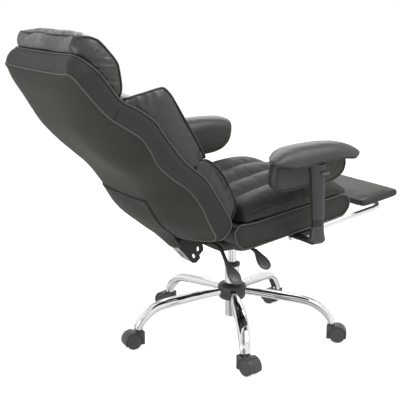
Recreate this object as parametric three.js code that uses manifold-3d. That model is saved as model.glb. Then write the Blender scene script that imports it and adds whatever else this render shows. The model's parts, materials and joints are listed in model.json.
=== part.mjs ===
// Reclining office chair with a pull-out footrest, seen with its back let down and its footrest out.
// Millimetres. The chair faces -Y, the sitter's left is +X and +Z is up.
// The pieces are drawn about the column axis, with the floor at zero height.
import * as THREE from 'three';
import { mergeVertices } from 'three/addons/utils/BufferGeometryUtils.js';
import Module from 'manifold-3d';

const wasm = await Module();
wasm.setup();

// General
const fit = 0.3; // gap between pieces that touch
const slip = 0.5; // gap between pieces that slide or turn on each other
const overrun = 3; // how far a cut runs past the face that it opens
const weldDistance = 0.001; // vertices closer than this are one

// Five-legged base
const tipRadius = 320; // column axis to a caster stem
const tipHeight = 59; // floor to the end face of a leg
const legRise = 86; // end face of a leg to its root
const legRootWidth = 24;
const legMidWidth = 40;
const legTipWidth = 31;
const legRootThickness = 22;
const legMidThickness = 27;
const legTipThickness = 25;
const hubRadius = 32;
const hubBottom = 122;
const hubTop = 160;
const legAngles = [82, 10, -62, -134, 154]; // degrees from +X

// Moulded cover over the hub
const coverRadius = 47;
const coverTop = 172;
const coverShoulder = 160;
const coverFoot = 106;
const coverWall = 3;
const coverRound = 9;

// Casters
const stemRadius = 5;
const stemDepth = 16; // how far the stem reaches into a leg
const stemCollarRadius = 8;
const stemCollarThickness = 2.5;
const wheelRadius = 25;
const wheelWidth = 14.5;
const wheelEdge = 1.5;
const axleRadius = 3.2;
const trail = 20; // stem axis to axle
const hoodWebWidth = 14.4; // middle wall that holds the stem and the axle
const hoodWall = 2.6;
const hoodGap = 1; // room between the wheel and its hood
const hoodFront = 14; // stem axis to the front wall
const hoodEarHeight = 56.5;
const hoodEarWidth = 7;
const hoodSkirt = 13; // floor to the hood's lowest edge
const hoodArchStart = 128; // degrees, where the hood's arch begins over the wheel
const hoodArchEnd = -24; // degrees, where it ends behind the wheel
const casterTurns = [85, 24, 20, 229, 189]; // degrees from +X that each caster trails to

// Column
const tubeRadius = 24;
const tubeFootRadius = 22.4;
const tubeWall = 1.8;
const tubeBottom = 60;
const tubeFloor = 3; // thickness of the tube's closed end
const bushFlangeHeight = 11;
const bushFlangeProud = 1.2;
const bushLength = 90;
const cylinderRadius = 14;
const cylinderWall = 2;
const cylinderBottom = 130;
const cylinderReach = 39; // underside of the seat block down to the cylinder's top
const cylinderTaper = 1.1; // how much thinner the seat end is
const cylinderTaperLength = 42;
const valveRadius = 4;
const valveHeight = 7;
const rodRadius = 5;
const rodTop = 200;
const pistonHeight = 8;
const bearingRadius = 12;
const bearingHeight = 5;
const clipRadius = 8.5;
const clipThickness = 2;
const clipMouth = 7;

// Seat, whose parts lie in a frame tilted up at the front
const seatHeight = 377; // floor to the underside of the seat block on the column axis
const seatTilt = 9; // degrees
const seatWidth = 500;
const seatBack = 142; // column axis to the rear of the seat block
const seatFront = 266; // column axis to the front of the seat block
const blockHeight = 65;
const blockEdge = 7; // rounding of the block's piped edges
const boardThickness = 12;
const boardInset = 14;
const boardRearInset = 16;
const boardFrontInset = 84;
const boardCorner = 30;

// Seat cushion
const cushionInset = 4; // at each side and at the front of the seat block
const cushionRearInset = 34;
const cushionSide = 38; // height of its side wall
const cushionCrown = 71; // height in the middle
const cushionDrawIn = 7;
const channelDepth = 20;
const channels = 4;

// Mechanism under the seat
const panWidth = 120;
const panRearInset = 26;
const panFront = 104;
const panDepth = 79; // underside of the seat block down to the pan's floor
const panWall = 3;
const panNose = 34;
const socketRadius = 20;
const socketDepth = 87;

// Back hinge, and the back's lean
const hingeSetback = 8; // rear of the seat block to the hinge
const hingeRise = 3; // underside of the seat block up to the hinge
const hingePinRadius = 6;
const hingePinHead = 3;
const hingePinHeadRadius = 9.5;
const hingeEye = 14;
const hingeArmGap = 52; // between the two arms of the seat that hold the hinge
const hingeArmThickness = 4;
const backLean = 42; // degrees from upright when let down

// Back bar, a bent channel that carries the back
const barThickness = 3;
const barWidth = 68;
const barWebDepth = 87; // hinge to the bar's rear face
const barTail = 82; // how far the bar hangs below the hinge
const barTop = 196; // how far its strap climbs behind the back
const barHoleLength = 26;
const barHoleWidth = 14;
const barSlotLength = 15;
const barSlotWidth = 8;

// Padded back: lengths run up the back from the hinge, depths run forward from it
const backLength = 700;
const backDepth = 60; // depth of the side band
const backBandCrown = 4;
const backEndRound = 13;
const backCornerRound = 45; // corner of the back's top, seen from behind
const backStations = 20;

// Sleeve over the back bar
const sleeveTop = 218;
const sleeveBottom = 6;
const sleeveTopHalf = 112;
const sleeveBottomHalf = 72;
const sleeveWall = 4;
const sleeveRise = 9; // room for the bar under the sleeve

// Pillows on the back: start and end up the back, and thickness
const headStart = 540;
const headEnd = 742;
const headThickness = 68;
const headInset = 28; // from each edge of the back
const shoulderStart = 243;
const shoulderEnd = 528;
const shoulderThickness = 104;
const shoulderSag = 30; // how far the top edge hangs between its corners
const shoulderInset = 26;
const lumbarStart = 76;
const lumbarEnd = 240;
const lumbarThickness = 76;
const lumbarInset = 24;
const pillowDrawIn = 9;
const pillowCrown = 12;

// Arms
const armOutset = 95; // side of the seat to the arm post
const armForward = 71; // how far the post stands ahead of the column axis
const armBarWidth = 34;
const armBarThickness = 6;
const armBarReach = 215; // post to the bar's inner end
const armBarBend = 14;
const tangRise = 128; // heights in an arm are from the underside of the seat block
const tangWidth = 28;
const postLength = 39;
const postWidth = 24;
const postRise = 143;
const postWall = 2.5;
const footLength = 54;
const footWidth = 37;
const footDrop = 13;
const footNeckRise = 25;
const sleeveLength = 47;
const sleeveWidth = 31;
const sleevePlateLength = 96;
const sleevePlateWidth = 56;
const sleevePlateThickness = 3;
const sleeveFootRise = 51;
const sleeveHeadRise = 223;
const buttonDrop = 14; // top of the arm sleeve down to the button
const buttonLength = 20;
const buttonProud = 8;
const buttonThickness = 7;
const buttonWidth = 12;
const restOutset = 97; // side of the seat to the rest's outer face
const restThickness = 82;
const restRear = 114;
const restFront = 160;
const restDepth = 66;
const padWidth = 106;
const padOutset = 66; // side of the seat to the pad's middle
const padRear = 126;
const padFront = 200;
const padGap = 4; // top of the arm sleeve to the pad's base line
const padRise = 56; // base line to the pad's highest point
const armEdge = 6;

// Footrest
const railGauge = 150; // column axis to a rail
const railRadius = 9;
const railDrop = 59; // underside of the seat block to the rail's axis
const railInner = 105; // column axis to the rails' inner ends
const railReach = 488; // column axis to the cross tube
const railBend = 42;
const guideRadius = 13;
const guideFrontEnd = 216;
const guideLength = 86;
const guidePlate = 4;
const guideFlange = 30;
const padHinge = 12.5;
const bracketThickness = 3;
const bracketLength = 90;
const bracketSpread = 240;
const bracketClampWidth = 26;
const bracketClampOffset = 72;
const bracketRise = 21; // cross tube axis to the bracket's plate
const footpadBehind = 101; // cross tube to the pad's rear edge
const footpadAhead = 53;
const footpadHalfWidth = 172;
const footpadThickness = 25;
const footpadCorner = 20;
const footpadCrown = 3;

// Levers on the sitter's right
const leverRodRadius = 4;
const leverInside = 10; // how far a rod reaches into the pan
const paddleThickness = 9;
const paddleEnd = 21; // half the width of the paddle's broad end
const paddleNeck = 7;
const liftLeverBehind = 40; // column axis to the lever
const leverDrop = 41; // underside of the seat block down to the levers
const liftRodReach = 134;
const liftPaddleLength = 74;
const liftPaddleSlope = 20; // degrees down
const reclineLeverAhead = 16; // of the back hinge
const reclineRodReach = 119;
const reclinePaddleLength = 78;
const reclinePaddleSlope = 26; // degrees down

// Shares of the sizes above
const legPathShares = [[0.075, 1], [0.33, 0.95], [0.52, 0.89], [0.7, 0.82], [0.81, 0.72], [0.89, 0.55],
  [0.95, 0.34], [0.99, 0.14], [1, -0.06]];
const legMidShare = 0.55;
const hubCoverWaistShare = 0.8;
const channelShare = 0.26; // of the cushion's width
const tubeShare = 0.458; // of the way from the hub cover up to the mechanism
const backFrontShares = [[0.081, 0.45], [0.171, 0.63], [0.3, 0.86], [0.43, 0.72], [0.52, 0.73], [0.628, 0.9],
  [0.728, 0.64], [0.8, 0.46], [0.914, 0.48], [1.031, 0.29]];
const backRearShares = [[0.091, -0.48], [0.174, -0.13], [0.303, 0], [0.429, -0.22], [0.521, -0.25],
  [0.626, -0.03], [0.714, -0.31], [0.789, -0.47], [0.914, -0.48], [0.997, -0.52]];
const backCrestShares = [[0.089, -1.4], [0.174, -1.38], [0.303, -1.2], [0.429, -1.02], [0.521, -1.05],
  [0.626, -1.26], [0.714, -1.33], [0.789, -1.18], [0.914, -0.83], [0.997, -0.57]];
const backPanelShares = [-1, -0.96, -0.88, -0.76, -0.58, -0.3, 0, 0.3, 0.58, 0.76, 0.88, 0.96, 1];
const backCrownPower = 3.5;
const pillowSectionShares = [[0, 0], [0.5, 0], [0.9, 0], [0.975, 0.1], [1, 0.35], [0.99, 0.7], [0.95, 0.9],
  [0.86, 0.97], [0.6, 1], [0.3, 1], [0, 1], [-0.3, 1], [-0.6, 1], [-0.86, 0.97], [-0.95, 0.9], [-0.99, 0.7],
  [-1, 0.35], [-0.975, 0.1], [-0.9, 0], [-0.5, 0]];
const headSideShares = [[0, 0.13], [0.09, 0.46], [0.15, 0.66], [0.28, 0.9], [0.39, 0.96], [0.57, 0.99], [0.74, 1],
  [0.85, 0.98], [0.93, 0.8], [1, 0.54]];
const shoulderSideShares = [[0, 0.3], [0.03, 0.56], [0.12, 0.7], [0.3, 0.84], [0.5, 0.93], [0.7, 1],
  [0.78, 0.98], [0.85, 0.84], [0.93, 0.42], [1, 0.1]];
const lumbarSideShares = [[0, 0.16], [0.06, 0.3], [0.16, 0.54], [0.28, 0.8], [0.42, 0.98], [0.62, 1], [0.8, 0.92],
  [0.93, 0.68], [1, 0.3]];
const cushionSideShares = [[0, 0.22], [0.011, 0.46], [0.035, 0.62], [0.09, 0.76], [0.18, 0.88], [0.29, 0.93],
  [0.42, 0.97], [0.56, 0.99], [0.72, 0.93], [0.83, 0.82], [0.91, 0.66], [0.96, 0.5], [1, 0.2]];
const blockOutlineShares = [[0.83, 0], [0.91, 0.2], [1, 0.74], [0.985, 0.93], [0.93, 1]];
const blockNoseShares = [[0.94, 1], [0.985, 0.92], [1, 0.7], [0.975, 0.32], [0.89, 0.08], [0.68, 0]];
const padTopShares = [[0, 0.2], [0.04, 0.36], [0.16, 0.55], [0.33, 0.83], [0.53, 0.98], [0.72, 1], [0.87, 0.92],
  [0.95, 0.78], [1, 0.62]];
const padBottomShares = [[0, 0.12], [0.04, 0.06], [0.16, 0.01], [0.33, 0], [0.53, 0.15], [0.72, 0.28],
  [0.87, 0.42], [0.95, 0.52], [1, 0.56]];
const padWidthShares = [[0, 0.5], [0.04, 0.72], [0.16, 0.94], [0.33, 1], [0.53, 1], [0.72, 1], [0.87, 0.95],
  [0.95, 0.82], [1, 0.6]];
const liftRodShares = [[0, 0], [0.35, -0.02], [0.65, -0.08], [1, -0.2]];
const reclineRodShares = [[0, 0], [0.3, 0.03], [0.5, 0.05], [0.68, 0], [0.84, -0.14], [1, -0.33]];

const degree = Math.PI / 180;

// Sizes that follow from the ones above
const cylinderTop = seatHeight - cylinderReach;
const cushionWidth = seatWidth - 2 * cushionInset;
const cushionRear = seatBack - cushionRearInset;
const cushionFront = seatFront - cushionInset;
const channelWidth = cushionWidth * channelShare;
const boardRear = seatBack - boardRearInset;
const boardFront = seatFront - boardFrontInset;
const panRear = seatBack - panRearInset;
const panBottom = seatHeight - panDepth;
const socketBottom = seatHeight - socketDepth;
const tubeTop = coverTop + (socketBottom - coverTop) * tubeShare;
const hingeBehind = seatBack + hingeSetback;
const hingeHeight = seatHeight + hingeRise;
const backHalfWidth = seatWidth / 2;
const headHalfWidth = backHalfWidth - headInset;
const shoulderHalfWidth = backHalfWidth - shoulderInset;
const lumbarHalfWidth = backHalfWidth - lumbarInset;
const armOffset = seatWidth / 2 + armOutset;
const padOffset = seatWidth / 2 + padOutset;
const restOuter = seatWidth / 2 + restOutset;
const tangTop = seatHeight + tangRise;
const postTop = seatHeight + postRise;
const footBottom = seatHeight - footDrop;
const footNeck = seatHeight + footNeckRise;
const sleeveFoot = seatHeight + sleeveFootRise;
const sleeveHead = seatHeight + sleeveHeadRise;
const buttonHeight = sleeveHead - buttonDrop;
const padBase = sleeveHead + padGap;
const restBottom = padBase - restDepth;
const footpadRear = railReach - footpadBehind;
const footpadFront = railReach + footpadAhead;
const liftLeverHeight = seatHeight - leverDrop;
const reclineLeverHeight = seatHeight - leverDrop;
const reclineLeverBehind = hingeBehind - reclineLeverAhead;
const leverHoleRadius = leverRodRadius + slip;

// Materials
const finish = (color, roughness, metalness) => new THREE.MeshStandardMaterial({ color, roughness, metalness });
const chrome = finish(0xdcdcde, 0.12, 1);
const steel = finish(0x8f9194, 0.4, 0.9);
const blackSteel = finish(0x1d1d1e, 0.45, 0.6);
const nylon = finish(0x343436, 0.55, 0);
const armPlastic = finish(0x2c2d2c, 0.5, 0);
const leather = finish(0x2b2b29, 0.42, 0);
const leatherSide = finish(0x242320, 0.42, 0);

// Whether a closed geometry's faces point inwards, from the sign of its volume
function facesInwards(geometry) {
  const corners = geometry.index.array;
  const points = geometry.attributes.position;
  const [a, b, c] = [new THREE.Vector3(), new THREE.Vector3(), new THREE.Vector3()];
  let volume = 0;
  for (let i = 0; i < corners.length; i += 3) {
    a.fromBufferAttribute(points, corners[i]);
    b.fromBufferAttribute(points, corners[i + 1]);
    c.fromBufferAttribute(points, corners[i + 2]);
    volume += a.dot(b.cross(c));
  }
  return volume < 0;
}

// Turns a closed geometry into a solid that can be cut and joined
function solidOf(geometry) {
  const bare = geometry.clone();
  bare.deleteAttribute('normal');
  bare.deleteAttribute('uv');
  const merged = mergeVertices(bare, weldDistance);
  const corners = merged.index.array;
  const turned = facesInwards(merged);
  const kept = [];
  for (let i = 0; i < corners.length; i += 3) {
    const [a, b, c] = [corners[i], corners[i + 1], corners[i + 2]];
    if (a !== b && b !== c && a !== c) kept.push(...(turned ? [b, a, c] : [a, b, c]));
  }
  const mesh = new wasm.Mesh({
    numProp: 3,
    vertProperties: Float32Array.from(merged.attributes.position.array),
    triVerts: Uint32Array.from(kept),
  });
  return new wasm.Manifold(mesh);
}

// Turns a solid back into a geometry
function geometryOf(solid) {
  const mesh = solid.getMesh();
  const geometry = new THREE.BufferGeometry();
  geometry.setAttribute('position', new THREE.BufferAttribute(Float32Array.from(mesh.vertProperties), 3));
  geometry.setIndex([...mesh.triVerts]);
  geometry.computeVertexNormals();
  return geometry;
}

const join = (...solids) => solids.reduce((whole, piece) => whole.add(piece));
const cut = (body, ...tools) => tools.reduce((left, tool) => left.subtract(tool), body);

function piece(name, solid, material) {
  const mesh = new THREE.Mesh(geometryOf(solid), material);
  mesh.name = name;
  return mesh;
}

// A solid revolved about Z from a closed profile of [radius, height] points
function revolved(profile, sides) {
  const points = [...profile, profile[0]].map(([r, z]) => new THREE.Vector2(r, z));
  return solidOf(new THREE.LatheGeometry(points, sides).rotateX(Math.PI / 2));
}

// A round bar along Z
function roundBar(radius, bottom, top, sides) {
  const bar = new THREE.CylinderGeometry(radius, radius, top - bottom, sides);
  return solidOf(bar.rotateX(Math.PI / 2).translate(0, 0, (top + bottom) / 2));
}

// A round bar along X
function crossBar(radius, from, to, y, z, sides) {
  const bar = new THREE.CylinderGeometry(radius, radius, to - from, sides);
  return solidOf(bar.rotateZ(Math.PI / 2).translate((from + to) / 2, y, z));
}

// A block between two corners
function block(low, high) {
  const size = high.map((value, i) => value - low[i]);
  const middle = high.map((value, i) => (value + low[i]) / 2);
  return solidOf(new THREE.BoxGeometry(...size).translate(...middle));
}

// A side outline of [y, z] points, or a shape drawn in them, run across from one x to another
function acrossX(outline, from, to, edge = 0, curveSegments = 4) {
  const drawn = outline instanceof THREE.Shape;
  const shape = drawn ? outline : new THREE.Shape(outline.map(([y, z]) => new THREE.Vector2(y, z)));
  const geometry = new THREE.ExtrudeGeometry(shape, {
    depth: to - from - 2 * edge,
    bevelEnabled: edge > 0,
    bevelThickness: edge,
    bevelSize: edge,
    bevelOffset: -edge,
    bevelSegments: 2,
    curveSegments,
  });
  geometry.translate(0, 0, from + edge);
  return solidOf(geometry.applyMatrix4(new THREE.Matrix4().set(0, 0, 1, 0, 1, 0, 0, 0, 0, 1, 0, 0, 0, 0, 0, 1)));
}

// A flat outline in x and y, run up from one height to another
function upright(shape, from, to, curveSegments = 8) {
  const geometry = new THREE.ExtrudeGeometry(shape, { depth: to - from, bevelEnabled: false, curveSegments });
  return solidOf(geometry.translate(0, 0, from));
}

function roundedRectangle(halfX, halfY, corner) {
  const shape = new THREE.Shape();
  shape.moveTo(halfX, -halfY + corner);
  shape.lineTo(halfX, halfY - corner);
  shape.absarc(halfX - corner, halfY - corner, corner, 0, Math.PI / 2, false);
  shape.lineTo(-halfX + corner, halfY);
  shape.absarc(-halfX + corner, halfY - corner, corner, Math.PI / 2, Math.PI, false);
  shape.lineTo(-halfX, -halfY + corner);
  shape.absarc(-halfX + corner, -halfY + corner, corner, Math.PI, 1.5 * Math.PI, false);
  shape.lineTo(halfX - corner, -halfY);
  shape.absarc(halfX - corner, -halfY + corner, corner, 1.5 * Math.PI, 2 * Math.PI, false);
  return shape;
}

// A closed skin through rings of points, each ring with the same count, with a cap on both ends
function lofted(rings) {
  const count = rings[0].length;
  const positions = rings.flat().flatMap((p) => [p.x, p.y, p.z]);
  const corners = [];
  for (let i = 0; i < rings.length - 1; i += 1) {
    for (let j = 0; j < count; j += 1) {
      const a = i * count + j;
      const b = i * count + ((j + 1) % count);
      corners.push(a, b, b + count, a, b + count, a + count);
    }
  }
  const capped = [[rings[0], 0, true], [rings.at(-1), (rings.length - 1) * count, false]];
  for (const [ring, first, reversed] of capped) {
    const middle = ring.reduce((sum, p) => sum.add(p), new THREE.Vector3()).divideScalar(count);
    const hub = positions.length / 3;
    positions.push(middle.x, middle.y, middle.z);
    for (let j = 0; j < count; j += 1) {
      const a = first + j;
      const b = first + ((j + 1) % count);
      corners.push(...(reversed ? [b, a, hub] : [a, b, hub]));
    }
  }
  const geometry = new THREE.BufferGeometry();
  geometry.setAttribute('position', new THREE.Float32BufferAttribute(positions, 3));
  geometry.setIndex(corners);
  return solidOf(geometry);
}

// Reads a table of [share, value] rows at a share between them, along straight lines
function tableAt(rows, share) {
  const last = rows.length - 1;
  if (share <= rows[0][0]) return rows[0][1];
  if (share >= rows[last][0]) return rows[last][1];
  const k = rows.findIndex(([at]) => at > share);
  const [[x0, y0], [x1, y1]] = [rows[k - 1], rows[k]];
  return y0 + ((y1 - y0) * (share - x0)) / (x1 - x0);
}

// Reads a table of rows as one smooth line, at a place from 0 to 1 along it
function smoothLine(rows) {
  return new THREE.SplineCurve(rows.map(([a, b]) => new THREE.Vector2(a, b)));
}

// A round tube through points that lie in one flat plane, which the normal stands on
function bentTube(points, normal, radius, sides) {
  const rings = points.map((point, i) => {
    const before = points[Math.max(i - 1, 0)];
    const after = points[Math.min(i + 1, points.length - 1)];
    const across = new THREE.Vector3().subVectors(after, before).normalize().cross(normal);
    const ring = [];
    for (let j = 0; j < sides; j += 1) {
      const turn = (j / sides) * 2 * Math.PI;
      const offset = across.clone().multiplyScalar(Math.cos(turn)).addScaledVector(normal, Math.sin(turn));
      ring.push(point.clone().addScaledVector(offset, radius));
    }
    return ring;
  });
  return lofted(rings);
}

// One leg, out along +X; grow makes it larger all round, for the slots in the hub cover
function leg(grow) {
  const path = smoothLine(legPathShares.map(([r, z]) => [r * tipRadius, tipHeight + z * legRise]));
  const stations = 9;
  const sides = 10;
  const mid = legMidShare;
  const rings = [];
  for (let i = 0; i <= stations; i += 1) {
    const t = 1 - (1 - i / stations) ** 1.4;
    const at = path.getPointAt(t);
    const along = path.getTangentAt(t);
    const outwards = t < mid ? Math.sin((t / mid) * (Math.PI / 2)) : Math.cos(((t - mid) / (1 - mid)) * (Math.PI / 2));
    const endWidth = t < mid ? legRootWidth : legTipWidth;
    const endThickness = t < mid ? legRootThickness : legTipThickness;
    const halfWidth = (endWidth + (legMidWidth - endWidth) * outwards) / 2 + grow;
    const halfThickness = (endThickness + (legMidThickness - endThickness) * outwards) / 2 + grow;
    const ring = [];
    for (let j = 0; j < sides; j += 1) {
      const turn = (j / sides) * 2 * Math.PI;
      const lift = halfThickness * Math.sin(turn);
      ring.push(new THREE.Vector3(at.x - along.y * lift, halfWidth * Math.cos(turn), at.y + along.x * lift));
    }
    rings.push(ring);
  }
  return lofted(rings);
}

const spun = (solid, degrees) => solid.rotate([0, 0, degrees]);

// The stand tube's outside, a slow taper to its foot
function tubeProfile(grow, bottom, top) {
  const slope = (tubeRadius - tubeFootRadius) / (hubTop - tubeBottom);
  const radiusAt = (z) => Math.min(tubeRadius, tubeFootRadius + slope * (z - tubeBottom)) + grow;
  const heights = [bottom, hubTop, top].filter((z) => z >= bottom && z <= top);
  return [[0, bottom], ...[...new Set(heights)].map((z) => [radiusAt(z), z]), [0, top]];
}

function baseStar() {
  const ring = roundBar(hubRadius, hubBottom, hubTop, 26);
  let star = join(ring, ...legAngles.map((angle) => spun(leg(0), angle)));
  const below = block([-tipRadius * 2, -tipRadius * 2, -tipHeight], [tipRadius * 2, tipRadius * 2, tipHeight]);
  const bore = revolved(tubeProfile(fit, tubeBottom, hubTop + overrun), 26);
  star = cut(star, below, bore);
  const socket = roundBar(stemRadius + fit, tipHeight - overrun, tipHeight + stemDepth + slip, 10);
  for (const angle of legAngles) star = cut(star, spun(socket.translate([tipRadius, 0, 0]), angle));
  return star;
}

function hubCover() {
  const rimRadius = tubeRadius + slip;
  const neck = rimRadius + coverWall;
  const waist = coverRadius * hubCoverWaistShare;
  const outer = [[rimRadius, coverTop], [neck, coverTop], [waist, coverShoulder + coverWall],
    [coverRadius - coverWall, coverShoulder], [coverRadius, coverShoulder - coverRound],
    [coverRadius, coverFoot + coverRound], [coverRadius - coverWall, coverFoot + coverWall],
    [coverRadius - coverRound, coverFoot]];
  const inner = [[hubRadius + slip, coverFoot], [hubRadius + slip, hubTop + slip], [rimRadius, hubTop + slip]];
  const ring = revolved([...outer, ...inner], 26);
  const slotHalf = legRootWidth / 2 + slip + fit;
  const slotTop = tipHeight + legRise;
  const slot = block([0, -slotHalf, coverFoot - overrun], [coverRadius + overrun, slotHalf, slotTop]);
  const room = join(leg(slip + fit), slot);
  return cut(ring, ...legAngles.map((angle) => spun(room, angle)));
}

// Caster pieces stand at the floor with the stem on Z and the wheels behind it along +X
function casterHood() {
  const halfWidth = hoodWebWidth / 2 + fit + wheelWidth;
  const arch = wheelRadius + hoodGap + hoodWall;
  const shape = new THREE.Shape();
  const start = hoodArchStart * degree;
  shape.moveTo(-hoodFront, hoodSkirt + hoodWall);
  shape.lineTo(-hoodFront, hoodEarHeight - hoodWall);
  shape.lineTo(-hoodFront + hoodWall / 2, hoodEarHeight);
  shape.lineTo(-hoodFront + hoodEarWidth - hoodWall, hoodEarHeight);
  shape.lineTo(trail + arch * Math.cos(start), wheelRadius + arch * Math.sin(start));
  shape.absarc(trail, wheelRadius, arch, start, hoodArchEnd * degree, true);
  shape.lineTo(trail + axleRadius * 2, hoodSkirt);
  shape.lineTo(-hoodFront + hoodWall, hoodSkirt);
  const shell = acrossX(shape, -halfWidth, halfWidth, 0, 5).rotate([0, 0, -90]);
  const room = crossBar(wheelRadius + hoodGap, hoodWebWidth / 2, halfWidth + overrun, 0, 0, 18);
  const left = room.rotate([0, 0, 90]).translate([trail, 0, wheelRadius]);
  const stemBore = roundBar(stemRadius + fit, hoodSkirt + hoodWall, tipHeight + overrun, 10);
  const dish = roundBar(stemCollarRadius + fit, tipHeight - stemCollarThickness - fit * 2, tipHeight + overrun, 10);
  const pin = crossBar(axleRadius, -halfWidth + wheelEdge * 3, halfWidth - wheelEdge * 3, 0, 0, 8);
  const axle = pin.rotate([0, 0, 90]).translate([trail, 0, wheelRadius]);
  return join(cut(shell, left, left.mirror([0, 1, 0]), stemBore, dish), axle);
}

function casterStem() {
  const collarBottom = tipHeight - stemCollarThickness - fit;
  const pin = roundBar(stemRadius, hoodSkirt + hoodWall + fit, tipHeight + stemDepth, 10);
  return join(pin, roundBar(stemCollarRadius, collarBottom, tipHeight - fit, 10));
}

// A wheel about Z, its outer face up, turned so that it stands on one of its flats
function wheel() {
  const blind = wheelWidth - wheelEdge * 2;
  const profile = [[0, blind], [axleRadius + fit, blind], [axleRadius + fit, 0], [wheelRadius - wheelEdge, 0],
    [wheelRadius, wheelEdge], [wheelRadius, wheelWidth - wheelEdge * 1.5], [wheelRadius - wheelEdge, wheelWidth],
    [0, wheelWidth]];
  const sides = 20;
  return spun(revolved(profile, sides), 180 / sides);
}

function casters() {
  const group = new THREE.Group();
  legAngles.forEach((angle, i) => {
    const caster = new THREE.Group();
    caster.position.set(tipRadius * Math.cos(angle * degree), tipRadius * Math.sin(angle * degree), 0);
    caster.rotation.z = casterTurns[i] * degree;
    const name = `caster_${i + 1}`;
    caster.add(piece(`${name}_hood`, casterHood(), nylon));
    caster.add(piece(`${name}_stem`, casterStem(), steel));
    for (const [side, sign] of [['left', 1], ['right', -1]]) {
      const roller = piece(`${name}_wheel_${side}`, wheel(), nylon);
      roller.position.set(trail, sign * (hoodWebWidth / 2 + fit), wheelRadius);
      roller.rotation.x = (-sign * Math.PI) / 2;
      caster.add(roller);
    }
    group.add(caster);
  });
  return group;
}

function column() {
  const group = new THREE.Group();
  const bore = tubeFootRadius - tubeWall;
  const clipGap = rodRadius + fit;
  const floorTop = tubeBottom + tubeFloor;
  const shell = revolved(tubeProfile(0, tubeBottom, tubeTop), 32);
  const hollow = roundBar(bore, floorTop, tubeTop + overrun, 32);
  const passage = roundBar(clipGap, tubeBottom - overrun, floorTop + overrun, 16);
  group.add(piece('stand_tube', cut(shell, hollow, passage), chrome));

  const guide = [[cylinderRadius + fit, tubeTop - bushLength], [bore - fit, tubeTop - bushLength],
    [bore - fit, tubeTop + fit], [tubeRadius + bushFlangeProud, tubeTop + fit],
    [tubeRadius + bushFlangeProud, tubeTop + bushFlangeHeight - overrun / 2],
    [tubeRadius - bushFlangeProud, tubeTop + bushFlangeHeight], [cylinderRadius + fit, tubeTop + bushFlangeHeight]];
  group.add(piece('guide_bush', revolved(guide, 28), nylon));

  const rodBottom = tubeBottom - clipThickness * 2;
  const rod = roundBar(rodRadius, rodBottom, rodTop, 12);
  const piston = roundBar(cylinderRadius - cylinderWall - slip, rodTop - pistonHeight, rodTop, 16);
  const collarBottom = floorTop + fit + bearingHeight + fit;
  const collar = roundBar(bearingRadius, collarBottom, collarBottom + bearingHeight, 16);
  const grooveFloor = rodRadius - clipThickness / 2;
  const grooveBottom = tubeBottom - clipThickness - fit * 2;
  const groove = revolved([[grooveFloor, grooveBottom], [rodRadius + overrun, grooveBottom],
    [rodRadius + overrun, tubeBottom - fit / 2], [grooveFloor, tubeBottom - fit / 2]], 12);
  group.add(piece('piston_rod', cut(join(rod, piston, collar), groove), steel));

  const bearing = [[rodRadius + fit, floorTop + fit], [bearingRadius, floorTop + fit],
    [bearingRadius, floorTop + fit + bearingHeight], [rodRadius + fit, floorTop + fit + bearingHeight]];
  group.add(piece('thrust_bearing', revolved(bearing, 16), steel));

  const clipBottom = grooveBottom + fit / 2;
  const disc = roundBar(clipRadius, clipBottom, clipBottom + clipThickness, 16);
  const hole = roundBar(grooveFloor + fit, clipBottom - overrun, clipBottom + clipThickness + overrun, 10);
  const mouth = block([0, -clipMouth / 2, clipBottom - overrun], [clipRadius + overrun, clipMouth / 2,
    clipBottom + clipThickness + overrun]);
  group.add(piece('retaining_clip', cut(disc, hole, mouth), steel));
  return group;
}

function gasCylinder() {
  const seat = cylinderTop - cylinderTaperLength;
  const inner = cylinderRadius - cylinderWall;
  const ceiling = seat - cylinderWall;
  const profile = [[rodRadius + fit, cylinderBottom], [cylinderRadius, cylinderBottom], [cylinderRadius, seat],
    [cylinderRadius - cylinderTaper, cylinderTop], [valveRadius, cylinderTop],
    [valveRadius, cylinderTop + valveHeight], [0, cylinderTop + valveHeight], [0, ceiling], [inner, ceiling],
    [inner, cylinderBottom + cylinderWall * 3], [rodRadius + fit, cylinderBottom + cylinderWall * 3]];
  return revolved(profile, 26);
}

// Height of a point that lies on a level of the tilted seat frame, at a place y of the upright frame
const seatLevel = (y, level) => seatHeight + (level - y * Math.sin(seatTilt * degree)) / Math.cos(seatTilt * degree);

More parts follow.
